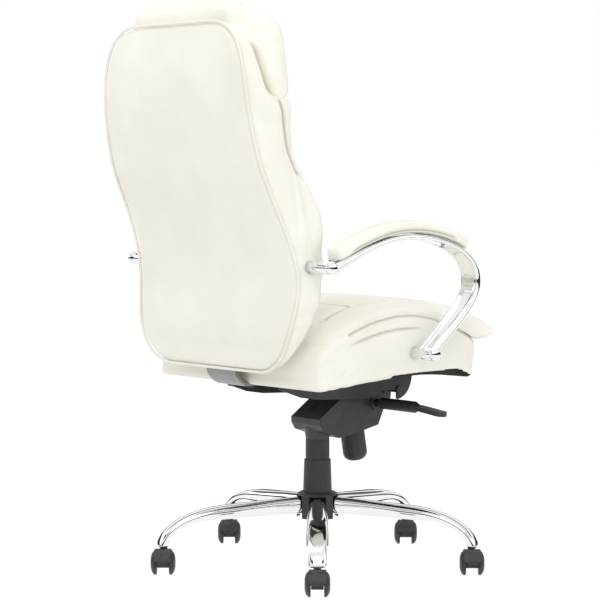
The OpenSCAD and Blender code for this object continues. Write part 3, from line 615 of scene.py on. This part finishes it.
BACK_REAR = joined(bezier((380, 1108), (386, 1000), (382, 930), (357, 840), 20),
                   bezier((357, 840), (340, 780), (277, 690), (273, 605), 20),
                   bezier((273, 605), (273, 560), (286, 520), (284, 480), 14),
                   bezier((284, 480), (283, 455), (281, 440), (276, 425), 8), (276, 425))
BACK_FRONT = joined((262, 425), (246, 432), bezier((244, 448), (232, 484), (196, 520), (186, 585), 14),
                    bezier((186, 585), (178, 640), (180, 700), (196, 745), 14),
                    bezier((196, 745), (214, 790), (250, 815), (262, 870), 14), (266, 925))
BACK_HALF = joined((0, 1109), bezier((120, 1107), (190, 1105), (212, 1060), (222, 1000), 16),
                   bezier((222, 1000), (232, 930), (238, 800), (240, 760), 14),
                   bezier((240, 760), (243, 690), (254, 650), (252, 600), 12),
                   bezier((252, 600), (250, 540), (236, 505), (225, 480), 10),
                   bezier((225, 480), (212, 450), (180, 430), (140, 426), 10), (0, 424))
HEAD_SEAM = joined(bezier((266, 925), (300, 930), (318, 980), (333, 1060), 16), (333, 1061), (346, 1096))
HEAD_FRONT = joined((262, 930), bezier((258, 940), (240, 990), (236, 1040), (232, 1085), 12),
                    bezier((232, 1085), (230, 1130), (262, 1157), (298, 1157), 12), (298, 1157))
HEAD_OVER = joined(bezier((298, 1157), (335, 1157), (372, 1140), (379, 1113), 14), (379, 1110))
HEAD_HALF = joined(bezier((0, 1158), (110, 1156), (196, 1140), (206, 1070), 16),
                   bezier((206, 1070), (222, 1020), (228, 980), (229, 920), 12), (229, 900))
SEAT_SEAM = joined(bezier((212, 470), (170, 496), (90, 538), (-16, 538), 14),
                   bezier((-16, 538), (-100, 538), (-170, 505), (-226, 476), 14), (-226, 476))
PILLOW_TOP = joined(bezier((206, 478), (150, 554), (60, 566), (-40, 566), 16),
                    bezier((-40, 566), (-150, 566), (-296, 540), (-306, 497), 18))
PILLOW_NOSE = joined(bezier((-306, 497), (-306, 486), (-275, 478), (-240, 474), 8), (-240, 474))
ARM_REAR_BOSS = (240, 637)
ARM_FRONT_BOSS = (-33, 457.5)
ARM_MIDDLE = np.array([60.0, 590.0])
ARM_PATH = joined(ARM_REAR_BOSS, bezier((232, 640), (180, 662), (110, 697), (30, 697), 16),
                  bezier((30, 697), (-40, 697), (-158, 672), (-158, 600), 20),
                  bezier((-158, 600), (-158, 560), (-120, 530), ARM_FRONT_BOSS, 14), ARM_FRONT_BOSS)
LEG_TOP = joined((22, 146), bezier((200, 133.5), (275, 128), (334.5, 100), (344.5, 55.5), 16), (344.5, 55.5))
LEG_LOW = joined((22, 109), bezier((245, 104), (285, 103), (317.5, 82.5), (321.5, 55.5), 14), (321.5, 55.5))
LEG_FIRST = 138.7
BACK_MIDDLE = np.array([0.0, 770.0])
BEHIND_PADDING = 7
SLICE_POINTS = 96


def across(line, z, by=1, value=0):
    """The line's column value where its column by is z."""
    line = line[np.argsort(line[:, by], kind="stable")]
    return np.interp(z, line[:, by], line[:, value])


def rear_y(z):
    return across(BACK_REAR, z)


def front_y(z):
    return across(BACK_FRONT, z)


def back_x(z):
    return across(BACK_HALF, z)


def slice_ring(half, front, rear, front_r, rear_r, bulge, z, rear_half=None):
    """A level slice: flat front and rear, round corners, sides that bulge; rear_half narrows the rear."""
    depth = max(rear - front, 2.0)
    front_r = min(front_r, depth * 0.5, half * 0.9)
    rear_r = min(rear_r, depth * 0.45, half * 0.9)
    turn = np.linspace(0, math.pi / 2, 9)
    a = np.stack([half - front_r + front_r * np.sin(turn), front + front_r - front_r * np.cos(turn)], 1)
    b = np.stack([half - rear_r + rear_r * np.cos(turn), rear - rear_r + rear_r * np.sin(turn)], 1)
    line = resample(joined((0, front), a, b, (0, rear)), SLICE_POINTS // 2 + 1)
    line[:, 0] += bulge * np.sin(np.pi * np.clip((line[:, 1] - front) / depth, 0, 1)) * (line[:, 0] > 1)
    if rear_half is not None:
        line[:, 0] *= 1 + (rear_half / half - 1) * smooth_step(line[:, 1], front + depth * 0.25, rear)
    other = line[-2:0:-1] * (-1, 1)
    ring = np.concatenate([line, other])
    return np.column_stack([ring, np.full(len(ring), z)]) * MM


# ---------- back ----------


def back_padding():
    rings = []
    for z in np.concatenate([[427, 431, 437], np.arange(444, 1090, 9), [1090, 1096]]):
        front = front_y(min(z, 925)) if z < 966 else across(HEAD_SEAM, z) + 3
        rear = rear_y(z) - BEHIND_PADDING
        half = back_x(z) - (2.5 if z > 440 else 6)
        low = smooth_step(z, 424, 470)
        high = smooth_step(z, 620, 750)
        front -= 11 * high * (z < 966)
        rings.append(slice_ring(half, front, rear, 12 + 36 * low - 26 * high, 7, 7 * low, z))
    piece = add_mesh("back_padding", *loft(rings), LEATHER)
    remesh(piece, CUSHION_VOXEL, 3)

    def held(co):
        z = co[:, 2] / MM
        near_rear = 1 - smooth_step(rear_y(z) - BEHIND_PADDING - co[:, 1] / MM, 6, 26)
        return np.maximum(near_rear, smooth_step(z, 905, 935))

    inflate(piece, 0.012, held, 0.003)
    subdivide(piece)
    # painted crevice shade along the welt at the rear edge of the padding
    paint_crevice_shade(piece, welt_path(), 0.0045)
    surface = surface_of(piece)
    for side in SIDES:
        z = np.arange(500, 945, 12.0)
        line = np.column_stack([side * (152 + 10 * np.sin((z - 520) / 122)), front_y(z) - 6, z]) * MM
        seam_line(piece, laid_on(relaxed(line, 6), surface), 0.008, 0.009, fade=0.012)
    for height in (600, 715, 830):
        x = np.arange(-158, 159, 10.0)
        line = np.column_stack([x, np.full(len(x), front_y(height) - 6.0), height + 6 * (x / 150) ** 2]) * MM
        seam_line(piece, laid_on(line, surface), 0.007, 0.010, fade=0.01)
    for side in SIDES:
        below = joined((300, 975), (294, 955), (284, 910), (273, 868), (254, 843), (236, 812))
        below = relaxed(resample(below, 24), 3)
        line = np.column_stack([np.full(len(below), side * 242.0), below]) * MM
        seam_line(piece, laid_on(line, surface), 0.004, 0.006, fade=0.012)
        side_wrinkles(piece, side)
    return placed(piece, SEAT, "leather", "back_cushion")


def side_wrinkles(piece, side):
    """Faint level pulls low on the side of the back."""
    co, no = coords(piece), normals(piece)
    zone = smooth_step(side * co[:, 0], 0.17, 0.22) * smooth_step(co[:, 2], 0.47, 0.53)
    zone *= 1 - smooth_step(co[:, 2], 0.66, 0.74)
    wave = np.sin(co[:, 2] * 2 * math.pi / 0.041 + 9 * co[:, 1] + 1.3 * np.sin(co[:, 2] * 60))
    set_coords(piece, co + no * (0.0011 * zone * wave)[:, None])


THREADS = []


def seam_line(piece, path, depth, width, fade):
    """A sewn seam: a groove with painted crevice shade, with a row of stitches just beside it."""
    groove(piece, path, depth, width, fade=fade)
    THREADS.append((piece, path))


def head_slice(z):
    """A level slice of the headrest: above the side seam it reaches back to the welt."""
    front = across(HEAD_FRONT, z) + 14 * (1 - smooth_step(z, 948, 975))
    reach = smooth_step(z, 1045, 1092)
    rear = across(HEAD_SEAM, z) - 1
    rear += reach * (min(rear_y(z) - 9, across(HEAD_OVER, max(z, 1110))) - rear)
    half = across(HEAD_HALF, z)
    rear_half = half + reach * (back_x(min(z, 1098)) - 5 - half)
    return slice_ring(half, front, rear, 46, 14 + 16 * reach, 5 - 3 * reach, z, rear_half)


def headrest():
    levels = np.concatenate([[950, 953, 958], np.arange(964, 1104, 7), np.arange(1108, 1154, 5)])
    piece = add_mesh("headrest", *loft([head_slice(z) for z in levels]), LEATHER)
    remesh(piece, CUSHION_VOXEL, 6)

    def held(co):
        z = co[:, 2] / MM
        behind = 1 - smooth_step(across(HEAD_SEAM, z) - co[:, 1] / MM, 4, 22)
        return behind * (1 - smooth_step(z, 1040, 1100))

    inflate(piece, 0.013, held, 0.006)
    subdivide(piece)
    surface = surface_of(piece)
    x = np.arange(-150, 151, 10.0)
    line = np.column_stack([x, np.full(len(x), 230.0), 1010 - 8 * (x / 150) ** 2]) * MM
    seam_line(piece, laid_on(line, surface), 0.007, 0.009, fade=0.05)
    return placed(piece, SEAT, "leather", "headrest_pillow")


def back_outline(count, inset):
    """The back's outline from behind, as (x, z) in mm."""
    right = BACK_HALF[1:-1]
    whole = np.concatenate([right, right[::-1] * (-1, 1)])
    whole = relaxed(resample(whole, count, closed=True), 5, closed=True)
    along = frames_along(whole, closed=True)
    inward = turned_to(np.column_stack([along[:, 1], -along[:, 0]]), whole, BACK_MIDDLE)
    return whole + inward * inset


def welt_path():
    outline = back_outline(420, 1.5)
    y = rear_y(outline[:, 1]) - 4.5
    return np.column_stack([outline[:, 0], y, outline[:, 1]]) * MM


def rear_panel():
    """The upholstered rear panel: it follows the back and rolls in to its welt all round."""
    outline = back_outline(240, 5)
    rings = []
    steps = np.concatenate([np.linspace(0.02, 0.86, 42), np.linspace(0.875, 1, 20)])
    for layer in (0, 1):
        for f in steps if layer == 0 else steps[::-1]:
            flat = BACK_MIDDLE + (outline - BACK_MIDDLE) * f
            edge = distance_to_path(flat, outline, closed=True)
            y = rear_y(flat[:, 1]) - 1
            if layer == 0:
                y += 7 * smooth_step(edge, 0, 95) + 1.2 * np.sin(flat[:, 1] / 47 + flat[:, 0] / 90)
                y -= 8.5 * (1 - np.sqrt(np.clip(1 - (1 - np.clip(edge / 13, 0, 1)) ** 2, 0, 1)))
                y -= 2.5 * np.exp(-((flat[:, 1] - 470) / 14) ** 2) * smooth_step(edge, 14, 40)
            else:
                y -= 9
            rings.append(np.column_stack([flat[:, 0], y, flat[:, 1]]) * MM)
    piece = add_mesh("rear_panel", *loft(rings), LEATHER)
    outward(piece)
    # painted crevice shade along the welt at the panel's rim
    paint_crevice_shade(piece, welt_path(), 0.0042)
    subdivide(piece)
    return placed(piece, SEAT, "leather", "back_panel")


def paint_crevice_shade(piece, path, width, closed=True):
    """Paints crevice shade on the leather close to a path, without moving it."""
    groove(piece, path, 0.0, width, closed)


def rear_piping():
    """The corded welt between the rear panel and the side of the back."""
    piece = add_mesh("rear_piping", *tube_parts(welt_path(), 0.0029, 12, closed=True), WELT)
    outward(piece)
    return placed(piece, SEAT, "leather")


# ---------- seat ----------


def seat_plan(x, width, y0, y1, r):
    """The front and rear edge of the seat's plan at x, in mm."""
    h = width / 2
    corner = (h - .25 * r, y0 + .6 * r)
    front = joined(bezier((0, y0 - 14), (.5 * h, y0 - 14), (h - .5 * r, y0 - 8), corner, 20),
                   bezier(corner, (h, y0 + r), (h, y0 + 1.5 * r), (h, y0 + 2 * r), 10))
    rear = joined((0, y1), (h - .5 * r, y1), (h - .15 * r, y1 - .15 * r), (h, y1 - .5 * r))
    x = min(abs(x), h)
    return np.interp(x, front[:, 0], front[:, 1]), np.interp(x, rear[:, 0], rear[:, 1])


def seam_z(y):
    return across(SEAT_SEAM, y, by=0, value=1)


def fitted(profile, front, rear):
    """The (y, z) profile with its ends moved to front and rear."""
    low, high = profile[:, 0].min(), profile[:, 0].max()
    out = profile.copy()
    out[:, 0] = front + (profile[:, 0] - low) * (rear - front) / (high - low)
    return out


def shrunk(profile, d):
    middle = (profile.max(0) + profile.min(0)) / 2
    half = (profile.max(0) - profile.min(0)) / 2
    return middle + (profile - middle) * (1 - d / half)


def side_steps(half, r):
    """x of each slice and how far its profile is drawn in, for an edge rounded by r."""
    turn = np.linspace(math.pi / 2 * 0.93, 0, 8)
    edge = [(half - r + r * math.sin(a), r * (1 - math.cos(a))) for a in turn]
    flat = [(x, 0.0) for x in np.linspace(half - r, -(half - r), 22)[1:-1]]
    return edge + flat + [(-x, d) for x, d in edge[::-1]]


def seat_base_cushion():
    profile = joined((220, 400), (223, 440), (218, 462), SEAT_SEAM,
                     bezier((-226, 476), (-240, 462), (-242, 420), (-216, 402), 10), (-210, 400))
    profile = resample(profile, 90, closed=True)
    rings = []
    for x, drawn in side_steps(257, 13):
        front, rear = seat_plan(x, 520, -240, 224, 46)
        ring = shrunk(fitted(profile, front, rear), drawn)
        arch = np.interp(ring[:, 0], [-215, -165, -60, 10, 200], [0, 1, 1, 0.85, 0])
        wing = 17 * np.clip((abs(x) - 120) / 122, 0, 1) + 8 * smooth_step(abs(x), 243, 256)
        low = 394 + drawn * 0.3 + arch * wing
        ring[:, 1] = np.where(ring[:, 1] < 425, np.where(ring[:, 1] < 416, low, np.maximum(ring[:, 1], low)),
                              ring[:, 1])
        rings.append(np.column_stack([np.full(len(ring), x), ring]) * MM)
    piece = add_mesh("seat_base_cushion", *loft(rings), LEATHER)
    remesh(piece, CUSHION_VOXEL, 4)

    def held(co):
        y, z = co[:, 1] / MM, co[:, 2] / MM
        top = smooth_step(z - seam_z(np.clip(y, -226, 212)), -26, -10)
        under = 1 - smooth_step(z, 404, 424)
        return np.maximum(top, under)

    inflate(piece, 0.014, held, 0.004)
    subdivide(piece)
    cover_underside(piece)
    surface = surface_of(piece)
    for side in SIDES:
        y = np.arange(-70, 165, 12.0)
        line = np.column_stack([np.full(len(y), side * 262.0), y, seam_z(y) - 30 + 8 * (y / 200) ** 2]) * MM
        seam_line(piece, laid_on(line, surface), 0.0010, 0.0022, fade=0.06)
        corner_wrinkles(piece, side)
    return placed(piece, SEAT, "leather", "seat_cushion")


def cover_underside(piece):
    """The downward faces under the seat are black dust cloth."""
    piece.data.materials.append(DUST_FABRIC)
    for face in piece.data.polygons:
        if face.normal.z < -0.6 and face.center.z < 0.432 and face.center.y < 0.02:
            face.material_index = 1


def corner_wrinkles(piece, side):
    """Slanting pulls low at the rear corners, where the leather is stapled under the board."""
    co, no = coords(piece), normals(piece)
    zone = smooth_step(side * co[:, 0], 0.19, 0.24) * smooth_step(co[:, 1], 0.03, 0.1)
    zone *= 1 - smooth_step(co[:, 2], 0.425, 0.452)
    wander = 2.4 * np.sin(co[:, 1] * 41 + co[:, 2] * 30)
    wave = np.sin((co[:, 1] * 0.7 + co[:, 2]) * 2 * math.pi / 0.034 + wander)
    set_coords(piece, co + no * (0.0007 * zone * wave)[:, None])


def seat_top_pillow(base):
    under = joined(PILLOW_NOSE, SEAT_SEAM[::-1])
    under = under[np.argsort(under[:, 0])]
    profile = resample(joined(PILLOW_TOP, PILLOW_NOSE, SEAT_SEAM[::-1]), 110, closed=True)
    rings = []
    for x, drawn in side_steps(249, 9):
        front, rear = seat_plan(x, 502, -305, 208, 46)
        ring = fitted(profile, front, rear)
        floor = np.interp(ring[:, 0], under[:, 0], under[:, 1])
        crown = (1 - min(abs(x) / 262, 1) ** 6) ** 0.5
        above = np.maximum(ring[:, 1] - floor, 0)
        ring[:, 1] = floor + above * crown - 1 - 3 * smooth_step(abs(x), 190, 235)
        middle = ring.mean(0)
        ring[:, 0] = middle[0] + (ring[:, 0] - middle[0]) * (1 - drawn / 230)
        rings.append(np.column_stack([np.full(len(ring), x), ring]) * MM)
    piece = add_mesh("seat_top_pillow", *loft(rings), LEATHER)
    remesh(piece, CUSHION_VOXEL, 4)

    def held(co):
        y, z = co[:, 1] / MM, co[:, 2] / MM
        return 1 - smooth_step(z - np.interp(y, under[:, 0], under[:, 1]), 6, 20)

    inflate(piece, 0.015, held, 0.005)
    subdivide(piece)
    surface = surface_of(piece)
    for side in SIDES:
        y = np.arange(-230, 190, 12.0)
        line = np.column_stack([np.full(len(y), side * 168.0), y, np.full(len(y), 600.0)]) * MM
        seam_line(piece, laid_on(line, surface), 0.006, 0.009, fade=0.012)
    x = np.arange(-166, 167, 10.0)
    for place in (-160, -50, 60):
        line = np.column_stack([x, np.full(len(x), float(place)), np.full(len(x), 600.0)]) * MM
        seam_line(piece, laid_on(line, surface), 0.006, 0.010, fade=0.01)
    x = np.arange(-215, 216, 10.0)
    line = np.column_stack([x, -330 + 40 * (x / 215) ** 4, np.full(len(x), 512.0)]) * MM
    seam_line(piece, laid_on(line, surface), 0.003, 0.004, fade=0.03)
    # painted crevice shade on both cushions along the join between the pillow and the base
    for side in SIDES:
        y = np.arange(-226, 150, 8.0)
        line = np.column_stack([np.full(len(y), side * 258.0), y, seam_z(y) - 2]) * MM
        line = laid_on(line, surface_of(base))
        paint_crevice_shade(piece, line, 0.0032, closed=False)
        paint_crevice_shade(base, line, 0.0026, closed=False)
    return placed(piece, SEAT, "leather", "seat_pillow")


# ---------- arms ----------

ARM_X = 295.0
ARM_HALF = 25
ARM_HALF_T = 5


def arm_bar(side):
    """A polished strap whose two edges swell into beads towards its ends, with a boss at each end."""
    outer = relaxed(resample(ARM_PATH, 90), 6)
    along = frames_along(outer)
    inward = turned_to(np.column_stack([along[:, 1], -along[:, 0]]), outer, ARM_MIDDLE)
    run = np.linspace(0, 1, len(outer))
    bead = 5.2 + 3.2 * (1 - smooth_step(run, 0.02, 0.22)) + 3.2 * smooth_step(run, 0.62, 0.97)
    u = ARM_HALF * np.sin(np.linspace(-math.pi / 2, math.pi / 2, 25))
    rings = []
    for p, into, r in zip(outer, inward, bead):
        rise = np.sqrt(np.clip(r * r - (np.abs(u) - (ARM_HALF - r)) ** 2, 0, None))
        rise = np.where(np.abs(u) > ARM_HALF - r, rise, np.maximum(4.0, rise))
        rise = np.where(np.abs(u) > ARM_HALF - 0.01, 0.3, rise)
        middle = p + into * ARM_HALF_T
        up = middle - into * rise[:, None]
        down = (middle + into * rise[:, None])[::-1][1:-1]
        ux = np.concatenate([u, u[::-1][1:-1]])
        yz = np.concatenate([up, down])
        rings.append(np.column_stack([side * (ARM_X + ux), yz]) * MM)
    parts = [loft(rings)]
    for (y, z), inner in ((ARM_REAR_BOSS, 252.6), (ARM_FRONT_BOSS, 258.6)):
        parts.append(boss(side, y, z, inner))
    piece = add_mesh("arm_bar_" + side_word(side), *gathered(parts), CHROME)
    outward(piece)
    m = piece.modifiers.new("edges", "EDGE_SPLIT")
    m.split_angle = math.radians(50)
    bake_modifiers(piece)
    return placed(piece, SEAT, "chrome", "arm_frame_" + side_word(side))


def boss(side, y, z, inner):
    """A turned boss along X with a turned ring and a domed outer end."""
    shape = [(inner, 9), (inner, 12), (inner + 0.8, 12.8), (309, 12.8), (309.6, 12.2), (310.4, 12.2),
             (311, 12.8), (315, 12.8), (317.5, 12.2), (319.4, 10.6), (320.6, 8), (321.2, 4), (321.4, 1)]
    turn = full_turn(48)
    rings = []
    for x, r in shape:
        ring = [np.full(len(turn), side * x), y + r * np.cos(turn), z + r * np.sin(turn)]
        rings.append(np.column_stack(ring) * MM)
    return loft(rings)


def arm_pad(side):
    """The leather rest on top of the strap, thinner towards both ends."""
    turn = full_turn(44)
    path = resample(ARM_PATH, 240)
    path = path[(path[:, 1] > 646) & (path[:, 0] > -120)]
    along = frames_along(path)
    out = -turned_to(np.column_stack([-along[:, 1], along[:, 0]]), path, ARM_MIDDLE)
    run = np.concatenate([[0], np.cumsum(np.linalg.norm(np.diff(path, axis=0), axis=1))])
    total = run[-1]
    rings = []
    for i in range(0, len(path), 2):
        end = min(run[i], total - run[i])
        reach = 22 if end == run[i] else 12
        full = math.sqrt(max(1 - (1 - min((end + 1.5) / reach, 1)) ** 2, 0))
        half, tall = 12 + 14.5 * full, 9 + 20 * full
        u = half * squared(np.cos(turn), 0.62)
        v = tall / 2 + tall / 2 * squared(np.sin(turn), 0.72)
        yz = path[i] + out[i] * (v[:, None] + 0.8)
        rings.append(np.column_stack([side * (ARM_X + u), yz]) * MM)
    piece = add_mesh("arm_rest_" + side_word(side), *loft(rings), LEATHER)
    remesh(piece, PAD_VOXEL, 3)

    def held(co):
        near = distance_to_path(co[:, 1:], path * MM)
        return 1 - smooth_step(near, 0.005, 0.012)

    inflate(piece, 0.006, held, 0.002)
    subdivide(piece)
    surface = surface_of(piece)
    for edge in SIDES:
        yz = path[10:-10:6] + out[10:-10:6] * 7
        line = np.column_stack([np.full(len(yz), side * ARM_X + edge * 30), yz]) * MM
        seam_line(piece, laid_on(line, surface), 0.0016, 0.0022, fade=0.02)
    return placed(piece, SEAT, "leather", "arm_pad_" + side_word(side))


# ---------- base ----------


def leg(number):
    """A chrome leg: a crowned pressed bar that thins and turns down over its caster."""
    top, low = resample(LEG_TOP[1:], 40), resample(LEG_LOW[1:], 40)
    top = np.concatenate([resample(joined((30, 145.4), (200, 133.5)), 12)[:-1], top])
    low = np.concatenate([resample(joined((30, 108.9), (245, 104)), 12)[:-1], low])
    widths = joined((0, 16.5), (100, 16.5), bezier((100, 16.5), (130, 19), (170, 22), (200, 22), 6),
                    bezier((200, 22), (260, 22), (304.5, 18), (345.5, 18), 8), (345.5, 18))
    turn = full_turn(40)
    angle = math.radians(LEG_FIRST + 360 / LEG_COUNT * (number - 1))
    ahead = np.array([math.cos(angle), math.sin(angle)])
    sideways = np.array([-ahead[1], ahead[0]])
    rings = []
    for t, l in zip(top, low):
        middle, up = (t + l) / 2, (t - l) / 2
        half = np.interp(middle[0], widths[:, 0], widths[:, 1])
        u = half * squared(np.cos(turn), 0.66)
        v = squared(np.sin(turn), 0.8)
        rz = middle + up * v[:, None]
        xy = rz[:, :1] * ahead + u[:, None] * sideways
        rings.append(np.column_stack([xy, rz[:, 1]]) * MM)
    piece = add_mesh("chrome_leg_%d" % number, *loft(rings), CHROME)
    outward(piece)
    return placed(piece, BASE, "chrome", "leg_%d" % number)


# ---------- stitches ----------


STITCH_EVERY = 0.007
STITCH_ASIDE = 0.0045
STITCH_RUN = np.array([-0.0022, -0.0012, 0.0012, 0.0022])[:, None]
STITCH_LIFT = np.array([-0.0003, 0.0003, 0.0003, -0.0003])[:, None]
THREAD_R = 0.0004


def stitch_rows():
    """Short thread stitches at even steps beside each sewn seam."""
    parts = []
    for piece, path in THREADS:
        surface = surface_of(piece)
        length = np.linalg.norm(np.diff(path, axis=0), axis=1).sum()
        count = max(int(length / STITCH_EVERY), 4)
        line = laid_on(resample(path, count), surface)
        ahead = frames_along(line)
        for i in range(2, count - 2):
            _, normal, _, _ = surface.find_nearest(Vector(line[i]))
            sideways = unit(np.cross(np.array(normal), ahead[i]))
            middle, normal, _, _ = surface.find_nearest(Vector(line[i] + sideways * STITCH_ASIDE))
            run = np.array(middle) + STITCH_RUN * ahead[i] + STITCH_LIFT * np.array(normal)
            parts.append(tube_parts(run, THREAD_R, 5))
    piece = add_mesh("stitches", *gathered(parts), STITCH)
    return placed(piece, SEAT, "leather")


# ---------- build ----------

back_padding()
headrest()
rear_panel()
rear_piping()
seat_top_pillow(seat_base_cushion())
for arm_side in SIDES:
    arm_bar(arm_side)
    arm_pad(arm_side)
for leg_number in range(1, LEG_COUNT + 1):
    leg(leg_number)
stitch_rows()

# ---------- floor, light ----------


FLOOR_HALF = 30.0
FLOOR_GLOW = 1.12
FLOOR_GLOW_SHARE = 0.86
WORLD_LIGHT = 0.74
WORLD_SEEN = 1.0
FLAG_RADIUS = 5.0
FLAG_SIDES = 64


def floor():
    """A pale floor: seen by the camera, metal or glass it is white, with a faint shadow."""
    h = FLOOR_HALF
    corners = [(-h, -h, 0), (h, -h, 0), (h, h, 0), (-h, h, 0)]
    material, tree, shader = new_material("studio_floor", (0.93, 0.93, 0.92), 0.6, specular=0.2)
    glow = tree.nodes.new("ShaderNodeEmission")
    glow.inputs["Color"].default_value = (1, 1, 1, 1)
    glow.inputs["Strength"].default_value = FLOOR_GLOW
    mix = tree.nodes.new("ShaderNodeMixShader")
    mix.inputs["Fac"].default_value = FLOOR_GLOW_SHARE
    out = tree.nodes["Material Output"]
    tree.links.new(shader.outputs[0], mix.inputs[1])
    tree.links.new(glow.outputs[0], mix.inputs[2])
    plain = tree.nodes.new("ShaderNodeMixShader")
    tree.links.new(seen_ray(tree), plain.inputs["Fac"])
    tree.links.new(shader.outputs[0], plain.inputs[1])
    tree.links.new(mix.outputs[0], plain.inputs[2])
    tree.links.new(plain.outputs[0], out.inputs["Surface"])
    piece = add_mesh("floor", corners, [(0, 1, 2, 3)], material, False)


def lamp(name, place, target, size, power):
    light = bpy.data.lights.new(name, "AREA")
    light.shape = "RECTANGLE"
    light.size, light.size_y = size
    light.energy = power
    piece = bpy.data.objects.new(name, light)
    bpy.context.scene.collection.objects.link(piece)
    piece.location = place
    piece.rotation_euler = (Vector(target) - Vector(place)).to_track_quat("-Z", "Y").to_euler()


def world():
    """White where it is seen, and a little less than that as a light."""
    scene_world = bpy.data.worlds.new("studio")
    bpy.context.scene.world = scene_world
    scene_world.use_nodes = True
    tree = scene_world.node_tree
    back = tree.nodes["Background"]
    back.inputs["Color"].default_value = (1, 1, 1, 1)
    strength = math_node(tree, "MULTIPLY_ADD", seen_ray(tree), WORLD_SEEN - WORLD_LIGHT)
    strength.node.inputs[2].default_value = WORLD_LIGHT
    tree.links.new(strength, back.inputs["Strength"])


def seen_ray(tree):
    """1 for a ray that shows the background: from the camera, or by way of metal or glass."""
    path = tree.nodes.new("ShaderNodeLightPath")
    mirrored = math_node(tree, "MAXIMUM", path.outputs["Is Glossy Ray"], path.outputs["Is Transmission Ray"])
    return math_node(tree, "MAXIMUM", path.outputs["Is Camera Ray"], mirrored)


def flag(name, points, faces, tone):
    """A board that only polished metal sees: it gives the chrome its darker bands."""
    material = bpy.data.materials.new(name)
    material.use_nodes = True
    tree = material.node_tree
    glow = tree.nodes.new("ShaderNodeEmission")
    glow.inputs["Color"].default_value = (tone, tone, tone, 1)
    tree.links.new(glow.outputs[0], tree.nodes["Material Output"].inputs["Surface"])
    piece = add_mesh(name, points, faces, material, False)
    piece.visible_camera = False
    piece.visible_diffuse = False
    piece.visible_transmission = False
    piece.visible_shadow = False


def flag_ring(name, low, high, tone):
    turn = full_turn(FLAG_SIDES)
    circle = FLAG_RADIUS * np.column_stack([np.cos(turn), np.sin(turn), np.zeros(FLAG_SIDES)])
    rings = [circle + (0, 0, z) for z in (low, high)]
    flag(name, np.concatenate(rings), ring_faces(2, FLAG_SIDES), tone)


floor()
world()
lamp("key", (-2.6, 2.2, 2.9), (0, 0.1, 0.6), (2.4, 2.0), 34)
lamp("fill", (-2.9, -1.6, 1.7), (0, 0, 0.6), (2.2, 2.0), 14)
lamp("top", (0.3, 0.3, 3.2), (0, 0, 0.5), (2.6, 2.6), 20)
lamp("rim", (2.6, 1.6, 1.6), (0, 0.1, 0.6), (1.8, 1.8), 10)
flag_ring("low_flag", 0.0, 1.0, 0.03)
flag_ring("high_flag", 2.6, 3.9, 0.12)
bpy.context.scene.view_settings.view_transform = "Standard"
